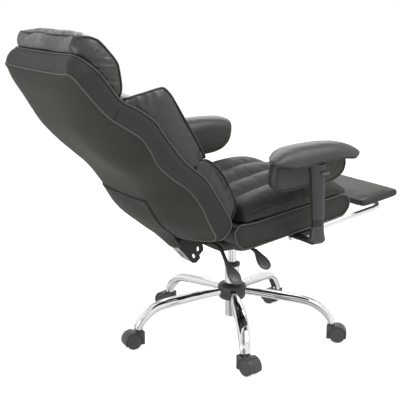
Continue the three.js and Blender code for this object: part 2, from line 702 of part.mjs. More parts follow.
function mechanism() {
  const underBoard = -boardThickness - fit * 2;
  const half = panWidth / 2;
  const outline = (inset, topLift) => [[-panFront + inset, seatLevel(-panFront, underBoard) + topLift],
    [-panFront + inset, seatLevel(-panFront, underBoard) - panNose + inset],
    [-panFront + panNose + inset, panBottom + inset],
    [panRear - panNose - inset, panBottom + inset], [panRear - inset, panBottom + panNose / 2 + inset],
    [panRear - inset, seatLevel(panRear, underBoard) + topLift]];
  const pan = cut(acrossX(outline(0, 0), -half, half), acrossX(outline(panWall, overrun), -half + panWall,
    half - panWall));
  const armInner = hingeArmGap / 2;
  const armOuter = armInner + hingeArmThickness;
  const armRoot = panRear - panWall * 2;
  const armTop = seatLevel(armRoot, underBoard) - fit;
  const arm = new THREE.Shape();
  const rise = Math.atan2(hingeHeight - armTop, hingeBehind - armRoot);
  arm.moveTo(armRoot, armTop);
  arm.lineTo(armRoot, armTop - panNose);
  arm.lineTo(hingeBehind + hingeEye * Math.sin(rise), hingeHeight - hingeEye * Math.cos(rise));
  arm.absarc(hingeBehind, hingeHeight, hingeEye, rise - Math.PI / 2, rise + Math.PI * 0.72, false);
  arm.lineTo(armRoot, armTop);
  const arms = [acrossX(arm, armInner, armOuter), acrossX(arm, -armOuter, -armInner)];
  const cheekTop = reclineLeverHeight + leverHoleRadius * 2.4;
  const cheek = acrossX([[armRoot, cheekTop - panNose], [reclineLeverBehind + leverHoleRadius, cheekTop -
    leverHoleRadius * 3.5], [reclineLeverBehind + leverHoleRadius * 2, cheekTop - leverHoleRadius * 2.5],
  [reclineLeverBehind + leverHoleRadius * 2, cheekTop - leverHoleRadius], [reclineLeverBehind + leverHoleRadius,
    cheekTop], [armRoot, cheekTop]], -half, -half + panWall);
  const boardRoom = acrossX([[-panFront * 2, seatLevel(-panFront * 2, underBoard)],
    [boardRear, seatLevel(boardRear, underBoard)], [boardRear, seatLevel(boardRear, blockHeight)],
    [-panFront * 2, seatLevel(-panFront * 2, blockHeight)]], -half * 2, half * 2);
  const pinHole = crossBar(hingePinRadius + fit, -half, half, hingeBehind, hingeHeight, 16);
  const socketTop = seatLevel(0, underBoard) - panWall * 3;
  const socket = roundBar(socketRadius, socketBottom, socketTop, 18);
  const seat = cylinderTop - cylinderTaperLength;
  const bore = revolved([[0, socketBottom - overrun], [cylinderRadius + fit, socketBottom - overrun],
    [cylinderRadius + fit, seat], [cylinderRadius - cylinderTaper + fit, cylinderTop],
    [cylinderRadius - cylinderTaper + fit, socketTop + overrun], [0, socketTop + overrun]], 18);
  const holes = [[liftLeverBehind, liftLeverHeight], [reclineLeverBehind, reclineLeverHeight]].map(([y, z]) =>
    crossBar(leverHoleRadius, -half - overrun, -half + panWall + overrun, y, z, 10));
  const body = cut(join(pan, ...arms, cheek, socket), bore, pinHole, boardRoom, ...holes);
  return piece('mechanism_pan', body, blackSteel);
}

function hingePin() {
  const half = barWidth / 2 + fit;
  const shaft = crossBar(hingePinRadius, -half - hingePinHead, half + hingePinHead, 0, 0, 16);
  const heads = [[half, half + hingePinHead], [-half - hingePinHead, -half]].map(([from, to]) =>
    crossBar(hingePinHeadRadius, from, to, 0, 0, 16));
  const pin = piece('back_hinge_pin', join(shaft, ...heads), steel);
  pin.position.set(0, hingeBehind, hingeHeight);
  return pin;
}

// The seat's padded parts and the footrest, in the tilted frame
function seatBoard() {
  const half = seatWidth / 2 - boardInset;
  const length = boardRear + boardFront;
  const shape = roundedRectangle(half, length / 2, boardCorner);
  const plate = upright(shape, -boardThickness, -fit, 4).translate([0, (boardRear - boardFront) / 2, 0]);
  return plate;
}

function seatBlock() {
  const rear = blockOutlineShares.map(([y, z]) => [y * seatBack, z * blockHeight]);
  const nose = blockNoseShares.map(([y, z]) => [-y * seatFront, z * blockHeight]);
  const lean = seatTilt * degree;
  const hingeY = hingeBehind * Math.cos(lean) - (hingeHeight - seatHeight) * Math.sin(lean);
  const hingeZ = hingeBehind * Math.sin(lean) + (hingeHeight - seatHeight) * Math.cos(lean);
  const room = hingeEye + slip * 3;
  const notch = block([-barWidth / 2 - slip * 2, hingeY - room, -overrun], [barWidth / 2 + slip * 2, hingeY + room,
    hingeZ + room]);
  const foot = block([-barWidth / 2 - slip * 2, seatBack * blockOutlineShares[0][0] - hingeEye, -overrun],
    [barWidth / 2 + slip * 2, hingeY, hingeZ]);
  return cut(acrossX([...rear, ...nose], -seatWidth / 2, seatWidth / 2, blockEdge), notch, foot);
}

function seatCushion() {
  const floor = blockHeight + fit;
  const length = cushionRear + cushionFront;
  const perChannel = 6;
  const rings = cushionSideShares.flatMap((row, i, rows) => {
    if (i === 0) return [row];
    const [s0, h0] = rows[i - 1];
    const [s1, h1] = row;
    return s1 - s0 > 0.15 ? [[(s0 + s1) / 2, (h0 + h1) / 2], row] : [row];
  }).map(([share, height]) => {
    const y = cushionRear - share * length;
    const middle = Math.sin(share * Math.PI);
    const half = cushionWidth / 2 - cushionDrawIn * middle;
    const grooves = channels * perChannel;
    const top = [];
    for (let k = 0; k <= grooves; k += 1) {
      const x = -half + (2 * half * k) / grooves;
      const dome = cushionSide + (cushionCrown - cushionSide) * Math.sqrt(Math.max(0, 1 - (x / half) ** 4));
      const phase = Math.abs(x) / channelWidth;
      const away = Math.abs(phase - Math.round(phase)) * 2;
      const seam = Math.abs(x) > channelWidth * 1.5 ? 0 : (1 - Math.sqrt(away)) * channelDepth;
      top.push(new THREE.Vector3(x, y, floor + height * (dome - seam)));
    }
    const side = floor + height * cushionSide * 0.4;
    const bulge = half + cushionDrawIn / 3;
    return [...top, new THREE.Vector3(bulge, y, side), new THREE.Vector3(half - cushionDrawIn, y, floor),
      new THREE.Vector3(0, y, floor), new THREE.Vector3(-half + cushionDrawIn, y, floor),
      new THREE.Vector3(-bulge, y, side)];
  });
  return lofted(rings);
}

// The back's lines, sampled at stations: up the back, and forward of the hinge
function backLines() {
  const [front, rear, crest] = [backFrontShares, backRearShares, backCrestShares].map((rows) =>
    smoothLine(rows.map(([s, n]) => [s * backLength, n * backDepth])));
  const stations = [];
  for (let i = 0; i <= backStations; i += 1) {
    const t = i / backStations;
    stations.push({ front: front.getPoint(t), rear: rear.getPoint(t), crest: crest.getPoint(t) });
  }
  return stations;
}

const backStation = backLines();

// Depth of the back's front face at a length up the back, along straight lines between stations
const backFaceRows = backStation.map(({ front }) => [front.x, front.y]);
const backFaceAt = (s) => tableAt(backFaceRows, s);

// Points in the back's frame: x across, s up the back, n forward. Its group turns s to lean rearwards.
const onBack = (x, s, n) => new THREE.Vector3(x, -n, s);

function backRing({ front, rear, crest }, shrink, lift) {
  const reach = Math.max(0, front.x - (backStation.at(-1).front.x - backCornerRound)) / backCornerRound;
  const half = backHalfWidth - shrink - backCornerRound * (1 - Math.sqrt(1 - Math.min(reach, 1) ** 2 * 0.96));
  const middle = (front.y + rear.y) / 2;
  const depth = (n) => middle + (n - middle) * (1 - shrink / backDepth);
  const across = (share, x, line, n) => onBack(x, line.x + lift + share * 0, depth(n));
  const ring = [];
  for (const share of [-1, -0.5, 0, 0.5]) ring.push(across(share, share * half, front, front.y));
  ring.push(across(1, half, front, front.y));
  for (const w of [0.3, 0.7]) {
    const out = half + backBandCrown * 4 * w * (1 - w);
    const s = front.x + (rear.x - front.x) * w;
    ring.push(onBack(out, s + lift, depth(front.y + (rear.y - front.y) * w)));
  }
  for (const share of [...backPanelShares].reverse()) {
    const crown = 1 - Math.abs(share) ** backCrownPower;
    ring.push(onBack(share * half, rear.x + (crest.x - rear.x) * crown + lift, depth(rear.y + (crest.y - rear.y) * crown)));
  }
  for (const w of [0.7, 0.3]) {
    const out = half + backBandCrown * 4 * w * (1 - w);
    const s = front.x + (rear.x - front.x) * w;
    ring.push(onBack(-out, s + lift, depth(front.y + (rear.y - front.y) * w)));
  }
  return ring;
}

function backBody() {
  const first = backStation[0];
  const last = backStation.at(-1);
  const rings = [backRing(first, backEndRound, -backEndRound * 0.9), backRing(first, backEndRound * 0.4,
    -backEndRound * 0.5), ...backStation.map((station) => backRing(station, 0, 0)),
  backRing(last, backEndRound * 0.4, backEndRound * 0.3), backRing(last, backEndRound, backEndRound * 0.5)];
  return lofted(rings);
}

// A pillow through stations up the back, each with the depths of its underside and its top
function pillowForm(stations, halfWidth, crown, sag) {
  const [first, last] = [stations[0].s, stations.at(-1).s];
  return lofted(stations.map(({ s, low, high, fullness }) => {
    const across = (2 * (s - first)) / (last - first) - 1;
    const half = halfWidth - pillowDrawIn * (1 - across * across);
    const slack = sag * Math.max(across, 0) ** 2;
    return pillowSectionShares.map(([x, n]) => {
      const raised = n > 0.5 ? crown * fullness * (1 - x * x) : 0;
      const drop = n > 0.5 ? slack * (1 - Math.abs(x) ** 1.6) : 0;
      return onBack(x * half, s - drop, low + n * (high - low) * (1 - drop / halfWidth) + raised);
    });
  }));
}

const stationsBetween = (start, end, sideShares) => {
  const own = sideShares.map(([share]) => start + share * (end - start));
  const face = backFaceRows.map(([s]) => s).filter((s) => s > start && s < end);
  return [...own, ...face].sort((a, b) => a - b).filter((s, i, all) => i === 0 || s - all[i - 1] > fit);
};

// A pillow that lies on the back's face, its thickness read from a table along its length
function pillow(start, end, thickness, halfWidth, sideShares, sag = 0) {
  return pillowForm(stationsBetween(start, end, sideShares).map((s) => {
    const fullness = tableAt(sideShares, (s - start) / (end - start));
    const low = backFaceAt(s) + fit;
    return { s, low, high: low + fullness * thickness, fullness };
  }), halfWidth, pillowCrown, sag);
}

// The bar's side flange: an eye on the hinge, a rear edge along the web and a notched tail
function barFlange() {
  const shape = new THREE.Shape();
  const rear = -barWebDepth;
  shape.moveTo(rear, hingeEye);
  shape.lineTo(rear, -barTail + barTail * 0.12);
  shape.lineTo(rear * 0.9, -barTail);
  shape.lineTo(rear * 0.68, -barTail);
  shape.lineTo(rear * 0.62, -barTail * 0.88);
  shape.lineTo(rear * 0.43, -barTail * 0.88);
  shape.lineTo(rear * 0.35, -barTail * 0.82);
  shape.lineTo(rear * 0.1, -barTail * 0.3);
  shape.lineTo(hingeEye * Math.sin(1.2), -hingeEye * Math.cos(1.2));
  shape.absarc(0, 0, hingeEye, -0.37, Math.PI * 0.62, false);
  const slots = [[rear * 0.52, -barTail * 0.66, 0.9], [rear * 0.8, -barTail * 0.72, 1.3]];
  for (const [n, s, turn] of slots) {
    const slot = new THREE.Path();
    const reach = (barSlotLength - barSlotWidth) / 2;
    const [dn, ds] = [Math.cos(turn) * reach, Math.sin(turn) * reach];
    slot.absarc(n + dn, s + ds, barSlotWidth / 2, turn - Math.PI / 2, turn + Math.PI / 2, false);
    slot.absarc(n - dn, s - ds, barSlotWidth / 2, turn + Math.PI / 2, turn + Math.PI * 1.5, false);
    shape.holes.push(slot);
  }
  return shape;
}

function backBar() {
  const half = barWidth / 2;
  // the flange is drawn with forward to the right, and the back's frame has forward along -Y
  const flange = acrossX(barFlange(), half - barThickness, half).mirror([0, 1, 0]);
  const web = block([-half, barWebDepth - barThickness, -barTail + barTail * 0.12], [half, barWebDepth, barTop]);
  const hole = new THREE.Shape();
  const reach = (barHoleLength - barHoleWidth) / 2;
  hole.absarc(0, reach, barHoleWidth / 2, 0, Math.PI, false);
  hole.absarc(0, -reach, barHoleWidth / 2, Math.PI, 2 * Math.PI, false);
  const window = upright(hole, -overrun, overrun + barThickness * 2).rotate([90, 0, 0])
    .translate([0, barWebDepth + overrun, -barTail / 2]);
  const pinHole = crossBar(hingePinRadius + fit, -half - overrun, half + overrun, 0, 0, 16);
  return cut(join(flange, flange.mirror([1, 0, 0]), web), window, pinHole);
}

// The padded sleeve that covers the bar on the back's rear panel
function barSleeve(body, bar) {
  const rows = [[sleeveBottom, sleeveBottomHalf], [sleeveTop * 0.5, (sleeveBottomHalf + sleeveTopHalf) / 2],
    [sleeveTop * 0.9, sleeveTopHalf], [sleeveTop, sleeveTopHalf]];
  const outer = barWebDepth + sleeveWall + fit;
  const rings = rows.map(([s, half], i) => {
    const depth = i === rows.length - 1 ? outer - sleeveRise : outer;
    const inside = barWebDepth - backDepth;
    return [[-1, inside], [-1, depth - sleeveRise], [-0.86, depth - sleeveWall / 2], [-0.5, depth], [0.5, depth],
      [0.86, depth - sleeveWall / 2], [1, depth - sleeveRise], [1, inside]].map(([x, n]) => onBack(x * half, s, -n));
  });
  const room = block([-barWidth / 2 - fit, -backDepth, -barTail * 2], [barWidth / 2 + fit, barWebDepth + fit,
    barTop + fit]);
  return cut(lofted(rings), body.translate([0, fit * 2, 0]), body.translate([0, fit, -fit * 2]), room, bar);
}

function backGroup() {
  const group = new THREE.Group();
  group.position.set(0, hingeBehind, hingeHeight);
  group.rotation.x = -backLean * degree;
  const bar = backBar();
  const room = block([-barWidth / 2 - slip, -hingeEye * 2, -backLength], [barWidth / 2 + slip, barWebDepth + slip,
    hingeEye + slip]);
  const strapRoom = block([-barWidth / 2 - fit, barWebDepth - barThickness - fit, 0], [barWidth / 2 + fit,
    barWebDepth + backDepth, barTop + fit]);
  const body = cut(backBody(), room, strapRoom);
  group.add(piece('back_bar', bar, blackSteel));
  group.add(piece('back_body', body, leather));
  group.add(piece('bar_sleeve', barSleeve(body, bar), leather));
  group.add(piece('headrest_pillow', pillow(headStart, headEnd, headThickness, headHalfWidth, headSideShares),
    leather));
  group.add(piece('shoulder_pillow', pillow(shoulderStart, shoulderEnd, shoulderThickness, shoulderHalfWidth,
    shoulderSideShares, shoulderSag), leather));
  group.add(piece('lumbar_pillow', pillow(lumbarStart, lumbarEnd, lumbarThickness, lumbarHalfWidth,
    lumbarSideShares), leather));
  return group;
}

const oval = (halfX, halfY) => {
  const shape = new THREE.Shape();
  shape.absellipse(0, 0, halfX, halfY, 0, 2 * Math.PI, false, 0);
  return shape;
};

// Rings of an upright oval form from [height, length, width] rows
function ovalTower(rows, sides) {
  return lofted(rows.map(([z, length, width]) => {
    const ring = [];
    for (let j = 0; j < sides; j += 1) {
      const turn = (j / sides) * 2 * Math.PI;
      const [c, s] = [Math.cos(turn), Math.sin(turn)];
      const square = (value) => Math.sign(value) * Math.abs(value) ** 0.75;
      ring.push(new THREE.Vector3((square(c) * width) / 2, (square(s) * length) / 2, z));
    }
    return ring;
  }));
}

// One arm on the post's own axis, with the chair's middle towards -X
function armPieces(side) {
  const inward = -1;
  const barTopLevel = seatLevel(-armForward, -boardThickness - fit * 2);
  const barLow = barTopLevel - armBarThickness;
  const half = armBarWidth / 2;
  const bend = armBarBend;
  const outer = armBarThickness / 2;
  const profile = new THREE.Shape();
  profile.moveTo(inward * armBarReach, barTopLevel);
  profile.lineTo(inward * armBarReach, barLow);
  profile.lineTo(outer - bend, barLow);
  profile.absarc(outer - bend, barLow + bend, bend, -Math.PI / 2, 0, false);
  profile.lineTo(outer, tangTop);
  profile.lineTo(-outer, tangTop);
  profile.lineTo(-outer, barTopLevel + bend - armBarThickness);
  profile.absarc(-outer - bend + armBarThickness, barTopLevel + bend - armBarThickness, bend - armBarThickness, 0,
    -Math.PI / 2, true);
  const flat = new THREE.ExtrudeGeometry(profile, { depth: armBarWidth, bevelEnabled: false, curveSegments: 5 });
  const strip = solidOf(flat.rotateX(Math.PI / 2).translate(0, half, 0));
  const tilt = Math.tan(seatTilt * degree) * half;
  const bracket = cut(strip, block([inward * armBarReach - overrun, tangWidth / 2, barTopLevel + bend],
    [outer + overrun, half + overrun, tangTop + overrun]), block([inward * armBarReach - overrun, -half - overrun,
    barTopLevel + bend], [outer + overrun, -tangWidth / 2, tangTop + overrun])).translate([0, 0, -tilt]);

  const slotHalf = outer + fit;
  const grip = fit + slip;
  const tower = ovalTower([[footBottom, footLength, footWidth], [(footBottom + footNeck) / 2, (footLength +
    postLength) / 2, (footWidth + postWidth) / 2 + fit], [footNeck, postLength, postWidth], [postTop, postLength,
    postWidth]], 20);
  const slot = block([-slotHalf, -tangWidth / 2 - fit, footBottom - overrun], [slotHalf, tangWidth / 2 + fit,
    tangTop + fit]);
  const heel = block([-footWidth, -half - grip, footBottom - overrun], [outer + fit, half + grip,
    barTopLevel + bend - tilt + fit]);
  const post = cut(tower, slot, heel);

  const shellWall = (sleeveWidth - postWidth) / 2 - slip;
  const outside = ovalTower([[sleeveFoot, sleeveLength, sleeveWidth], [sleeveHead, sleeveLength, sleeveWidth]], 20);
  const inside = ovalTower([[sleeveFoot - overrun, sleeveLength - 2 * shellWall, sleeveWidth - 2 * shellWall],
    [sleeveHead - shellWall, sleeveLength - 2 * shellWall, sleeveWidth - 2 * shellWall]], 20);
  const plateInner = padOffset - armOffset - sleevePlateWidth / 2;
  const plate = block([plateInner, -sleevePlateLength / 2, sleeveHead - sleevePlateThickness], [sleeveWidth / 2 -
    shellWall, sleevePlateLength / 2, sleeveHead]);
  const buttonRoom = block([-buttonWidth / 2 - fit, -sleeveLength, buttonHeight - buttonThickness / 2 - fit],
    [buttonWidth / 2 + fit, 0, buttonHeight + buttonThickness / 2 + fit]);
  const sleeve = cut(join(outside, plate), inside, buttonRoom);

  const key = roundedRectangle(buttonWidth / 2, buttonThickness / 2, buttonThickness / 3);
  const button = upright(key, 0, buttonLength, 3).rotate([90, 0, 0])
    .translate([0, -sleeveLength / 2 - buttonProud + buttonLength, buttonHeight]);

  const top = (y) => padBase + padRise * tableAt(padBottomShares, (padRear - y) / (padRear + padFront));
  const restTop = padBottomShares.map(([share]) => padRear - share * (padRear + padFront))
    .filter((y) => y < restRear - armEdge * 2 && y > -restFront + armEdge * 2);
  const outline = new THREE.Shape();
  const depth = padBase - restBottom;
  outline.moveTo(restRear - depth * 0.55, restBottom);
  outline.quadraticCurveTo(restRear - depth * 0.15, restBottom + depth * 0.1, restRear, top(restRear));
  restTop.forEach((y) => outline.lineTo(y, top(y)));
  outline.lineTo(-restFront, top(-restFront));
  outline.quadraticCurveTo(-restFront - fit, restBottom + depth * 0.45, -restFront * 0.72, restBottom + depth * 0.12);
  outline.lineTo(0, restBottom);
  const restInner = restOuter - restThickness;
  const rest = cut(acrossX(outline, restInner, restOuter, armEdge).translate([-armOffset, armForward, 0]),
    ovalTower([[restBottom - padRise, sleeveLength + 2 * slip, sleeveWidth + 2 * slip], [padBase + padRise,
      sleeveLength + 2 * slip, sleeveWidth + 2 * slip]], 24),
    block([-padOffset, -sleevePlateLength / 2 - slip, sleeveHead - sleevePlateThickness - slip], [sleeveWidth,
      sleevePlateLength / 2 + slip, padBase + padRise]),
    block([-buttonWidth, -sleeveLength, buttonHeight - buttonThickness], [buttonWidth, 0, buttonHeight +
      buttonThickness]));

  const rings = padTopShares.map(([share, high]) => {
    const y = padRear - share * (padRear + padFront) + armForward;
    const low = padBase + fit + padRise * tableAt(padBottomShares, share);
    const rise = padRise * (high - tableAt(padBottomShares, share));
    const halfPad = (padWidth / 2) * tableAt(padWidthShares, share);
    return [[-0.94, 0], [0, 0], [0.94, 0], [1, 0.22], [0.97, 0.5], [0.82, 0.8], [0.5, 0.96], [0, 1], [-0.5, 0.96],
      [-0.82, 0.8], [-0.97, 0.5], [-1, 0.22]].map(([x, z]) => new THREE.Vector3(padOffset - armOffset +
        x * halfPad, y, low + z * rise));
  });
  const platePocket = block([plateInner - fit, -sleevePlateLength / 2 - fit, padBase - overrun], [sleeveWidth / 2,
    sleevePlateLength / 2 + fit, sleeveHead + fit]);
  const pad = cut(lofted(rings), platePocket);

  const solids = { bracket, post, sleeve, button, rest, pad };
  const materials = { bracket: blackSteel, post: armPlastic, sleeve: armPlastic, button: armPlastic, rest: leather,
    pad: leather };
  const group = new THREE.Group();
  const sign = side === 'left' ? 1 : -1;
  group.position.set(sign * armOffset, -armForward, 0);
  for (const [name, solid] of Object.entries(solids)) {
    const whole = sign > 0 ? solid : solid.mirror([1, 0, 0]);
    group.add(piece(`arm_${side}_${name}`, whole, materials[name]));
  }
  return group;
}

// Footrest pieces in the tilted seat frame
function footrestFrame() {
  const right = [new THREE.Vector3(-railGauge, -railInner, -railDrop)];
  const bendSteps = 6;
  for (let i = 0; i <= bendSteps; i += 1) {
    const turn = (i / bendSteps) * (Math.PI / 2);
    const x = -railGauge + railBend * (1 - Math.cos(turn));
    right.push(new THREE.Vector3(x, -railReach + railBend * (1 - Math.sin(turn)), -railDrop));
  }
  const left = [...right].reverse().map((p) => new THREE.Vector3(-p.x, p.y, p.z));
  return bentTube([...right, ...left], new THREE.Vector3(0, 0, 1), railRadius, 12);
}

function railGuide(sign) {
  const x = sign * railGauge;
  const rear = -guideFrontEnd + guideLength;
  const ring = crossBar(guideRadius, -guideFrontEnd, rear, 0, 0, 24).rotate([0, 0, 90]).translate([x, 0, -railDrop]);
  const wallTop = -boardThickness - fit;
  const wall = block([x - guidePlate / 2, -guideFrontEnd, -railDrop], [x + guidePlate / 2, rear, wallTop]);
  const flange = block([x - guideFlange / 2, -guideFrontEnd + guidePlate, wallTop - guidePlate], [x + guideFlange / 2,
    rear - guidePlate, wallTop]);
  const bore = crossBar(railRadius + slip, -guideFrontEnd - overrun, rear + overrun, 0, 0, 24).rotate([0, 0, 90])
    .translate([x, 0, -railDrop]);
  return cut(join(ring, wall, flange), bore);
}

function footrestBracket() {
  const plateLow = -railDrop + bracketRise;
  const middle = (-footpadRear - footpadFront) / 2;
  const plate = block([-bracketSpread / 2, middle - bracketLength / 2, plateLow], [bracketSpread / 2,
    middle + bracketLength / 2, plateLow + bracketThickness]);
  const clamps = [-bracketClampOffset, bracketClampOffset].flatMap((x) => [
    crossBar(padHinge, x - bracketClampWidth / 2, x + bracketClampWidth / 2, -railReach, -railDrop, 24),
    block([x - bracketClampWidth / 2, -railReach - padHinge * 0.8, -railDrop], [x + bracketClampWidth / 2,
      -railReach + padHinge * 0.8, plateLow + bracketThickness / 2])]);
  const bore = crossBar(railRadius + fit, -bracketSpread, bracketSpread, -railReach, -railDrop, 24);
  return cut(join(plate, ...clamps), bore);
}

function footrestPad() {
  const low = -railDrop + bracketRise + bracketThickness + fit;
  const halfLength = (footpadFront - footpadRear) / 2;
  const middle = (-footpadRear - footpadFront) / 2;
  const levels = [[0, footpadCrown * 2], [0.2, footpadCrown * 0.5], [0.5, 0], [0.8, footpadCrown * 0.5],
    [1, footpadCrown * 2]];
  const rings = levels.map(([share, inset]) => {
    const outline = roundedRectangle(footpadHalfWidth - inset, halfLength - inset, footpadCorner - inset);
    return outline.getPoints(3).slice(1).map((p) => new THREE.Vector3(p.x, p.y + middle, low + share *
      footpadThickness));
  });
  return lofted(rings);
}

// A lever: a bent rod out to -X, and the paddle on its end
function lever(name, y, z, reach, rodShares, paddleLength, slope) {
  const points = rodShares.map(([out, rise]) => new THREE.Vector3(-out * reach, 0, rise * reach));
  const inner = new THREE.Vector3(leverInside, 0, 0);
  const rodPath = new THREE.CatmullRomCurve3([inner, ...points]).getSpacedPoints(12);
  const rod = bentTube(rodPath, new THREE.Vector3(0, 1, 0), leverRodRadius, 10);
  const shape = new THREE.Shape();
  const neck = paddleNeck;
  const end = paddleEnd;
  shape.moveTo(0, -neck);
  shape.bezierCurveTo(paddleLength * 0.3, -neck, paddleLength * 0.45, -end * 1.1, paddleLength * 0.75, -end);
  shape.bezierCurveTo(paddleLength * 1.02, -end * 0.9, paddleLength * 1.05, end * 0.7, paddleLength * 0.85, end * 0.9);
  shape.bezierCurveTo(paddleLength * 0.6, end * 1.15, paddleLength * 0.35, neck * 1.4, 0, neck);
  const geometry = new THREE.ExtrudeGeometry(shape, {
    depth: paddleThickness - 2 * leverRodRadius / 2,
    bevelEnabled: true,
    bevelThickness: leverRodRadius / 2,
    bevelSize: leverRodRadius / 2,
    bevelOffset: -leverRodRadius / 2,
    bevelSegments: 1,
    curveSegments: 5,
  });
  geometry.translate(0, 0, -paddleThickness / 2 + leverRodRadius / 2);
  const start = points.at(-1);
  const socketDepth = paddleLength * 0.22;
  const flat = solidOf(geometry).rotate([0, 180 - slope, 0]);
  const [dx, dz] = [Math.cos(slope * degree), Math.sin(slope * degree)];
  const placed = flat.translate([start.x + dx * socketDepth * 0.5, 0, start.z + dz * socketDepth * 0.5]);
  const beyond = new THREE.Vector3().subVectors(start, rodPath.at(-2)).setLength(fit).add(start);
  const bore = bentTube([...rodPath, beyond], new THREE.Vector3(0, 1, 0), leverRodRadius + slip, 10);
  const group = new THREE.Group();
  group.position.set(-panWidth / 2, y, z);
  group.add(piece(`${name}_rod`, rod, blackSteel));
  group.add(piece(`${name}_paddle`, cut(placed, bore), nylon));
  return group;
}

// The chair
const chair = new THREE.Group();
chair.add(piece('base_star', baseStar(), chrome));
chair.add(piece('hub_cover', hubCover(), nylon));
chair.add(casters());
chair.add(column());
chair.add(piece('gas_cylinder', gasCylinder(), chrome));
chair.add(mechanism());
chair.add(hingePin());
chair.add(lever('lift_lever', liftLeverBehind, liftLeverHeight, liftRodReach, liftRodShares, liftPaddleLength,
  liftPaddleSlope));
chair.add(lever('recline_lever', reclineLeverBehind, reclineLeverHeight, reclineRodReach, reclineRodShares,
  reclinePaddleLength, reclinePaddleSlope));

const seat = new THREE.Group();
seat.position.set(0, 0, seatHeight);
seat.rotation.x = -seatTilt * degree;
seat.add(piece('seat_board', seatBoard(), blackSteel));
seat.add(piece('seat_block', seatBlock(), leatherSide));
seat.add(piece('seat_cushion', seatCushion(), leather));
seat.add(piece('footrest_frame', footrestFrame(), chrome));
seat.add(piece('footrest_guide_left', railGuide(1), blackSteel));
seat.add(piece('footrest_guide_right', railGuide(-1), blackSteel));
seat.add(piece('footrest_bracket', footrestBracket(), blackSteel));
seat.add(piece('footrest_pad', footrestPad(), leather));
chair.add(seat);

chair.add(backGroup());
chair.add(armPieces('left'));
chair.add(armPieces('right'));

// The chair stands on zero height, with the middle of its length and width over the origin
const placedChair = new THREE.Group();
placedChair.add(chair);
placedChair.updateMatrixWorld(true);
const box = new THREE.Box3().setFromObject(chair, true);
chair.position.set(-(box.min.x + box.max.x) / 2, -(box.min.y + box.max.y) / 2, -box.min.z);

export default placedChair;
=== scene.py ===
import json
import math

import bmesh
import bpy
import numpy as np
from mathutils import Matrix, Vector, noise


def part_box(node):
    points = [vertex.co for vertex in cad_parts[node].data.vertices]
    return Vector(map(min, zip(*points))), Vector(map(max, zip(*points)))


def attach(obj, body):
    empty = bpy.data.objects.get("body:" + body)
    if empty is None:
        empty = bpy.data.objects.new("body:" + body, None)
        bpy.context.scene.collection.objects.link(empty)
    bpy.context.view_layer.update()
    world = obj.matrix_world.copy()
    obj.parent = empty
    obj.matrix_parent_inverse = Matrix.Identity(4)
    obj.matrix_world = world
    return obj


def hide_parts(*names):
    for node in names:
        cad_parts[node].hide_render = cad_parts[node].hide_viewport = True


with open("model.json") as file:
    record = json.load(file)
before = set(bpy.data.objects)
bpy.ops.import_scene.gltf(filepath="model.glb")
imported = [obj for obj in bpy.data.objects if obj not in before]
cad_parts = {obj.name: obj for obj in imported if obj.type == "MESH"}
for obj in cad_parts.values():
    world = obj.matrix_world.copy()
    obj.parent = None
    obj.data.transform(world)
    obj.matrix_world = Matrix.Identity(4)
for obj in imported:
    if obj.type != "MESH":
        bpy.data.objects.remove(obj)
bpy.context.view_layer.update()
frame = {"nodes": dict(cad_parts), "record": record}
scene = bpy.context.scene
scene.view_settings.view_transform = "Standard"

# Places, in millimetres. The chair's own origin is on the floor under the column, and the chair faces -Y.
MM = 0.001
TUBE_FOOT = 60  # floor to the stand tube
SEAT_UNDERSIDE = 377  # floor to the seat block on the column axis
HINGE_BACK, HINGE_HEIGHT = 150, 380
SEAT_TILT = math.radians(9)
BACK_LEAN = math.radians(42)
SIDES = (("left", 1), ("right", -1))

cylinder_low, cylinder_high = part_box("gas_cylinder")
tube_low, tube_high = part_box("stand_tube")
ORIGIN = Vector((
    (cylinder_low.x + cylinder_high.x) / 2,
    (cylinder_low.y + cylinder_high.y) / 2,
    tube_low.z - TUBE_FOOT * MM,
))


def chair(x, y, z):
    return ORIGIN + Vector((x, y, z)) * MM


def seat(x, y, z):
    """A point of the tilted seat frame: y to the rear along the board, z up from it."""
    c, s = math.cos(SEAT_TILT), math.sin(SEAT_TILT)
    return chair(x, y * c + z * s, SEAT_UNDERSIDE - y * s + z * c)


def back(x, s, n):
    """A point of the back's frame: s up along the back from its hinge, n forward."""
    c, k = math.cos(BACK_LEAN), math.sin(BACK_LEAN)
    return chair(x, HINGE_BACK + s * k - n * c, HINGE_HEIGHT + s * c + n * k)


# Camera
PHOTO_SIZE = 400  # pixels
CAMERA_AZIMUTH, CAMERA_ELEVATION = 239.12, 12.94  # degrees
CAMERA_DISTANCE = 2866.84  # mm from the chair's origin
FOCAL_LENGTH = 880.93  # pixels
ORIGIN_IN_PHOTO = (231.62, 331.66)  # pixels from the left and the top
SENSOR = 36


def make_camera():
    azimuth, elevation = math.radians(CAMERA_AZIMUTH), math.radians(CAMERA_ELEVATION)
    away = Vector((
        math.sin(azimuth) * math.cos(elevation),
        -math.cos(azimuth) * math.cos(elevation),
        math.sin(elevation),
    ))
    right = Vector((math.cos(azimuth), math.sin(azimuth), 0))
    up = away.cross(right)
    side, drop = ((at - PHOTO_SIZE / 2) / FOCAL_LENGTH * CAMERA_DISTANCE for at in ORIGIN_IN_PHOTO)
    place = CAMERA_DISTANCE * away - side * right + drop * up
    data = bpy.data.cameras.new("camera")
    data.sensor_width = SENSOR
    data.lens = FOCAL_LENGTH / PHOTO_SIZE * SENSOR
    data.clip_end = 50
    camera = bpy.data.objects.new("camera", data)
    scene.collection.objects.link(camera)
    turn = Matrix((right, up, away)).transposed().to_4x4()
    camera.matrix_world = Matrix.Translation(chair(*place)) @ turn
    scene.camera = camera


make_camera()


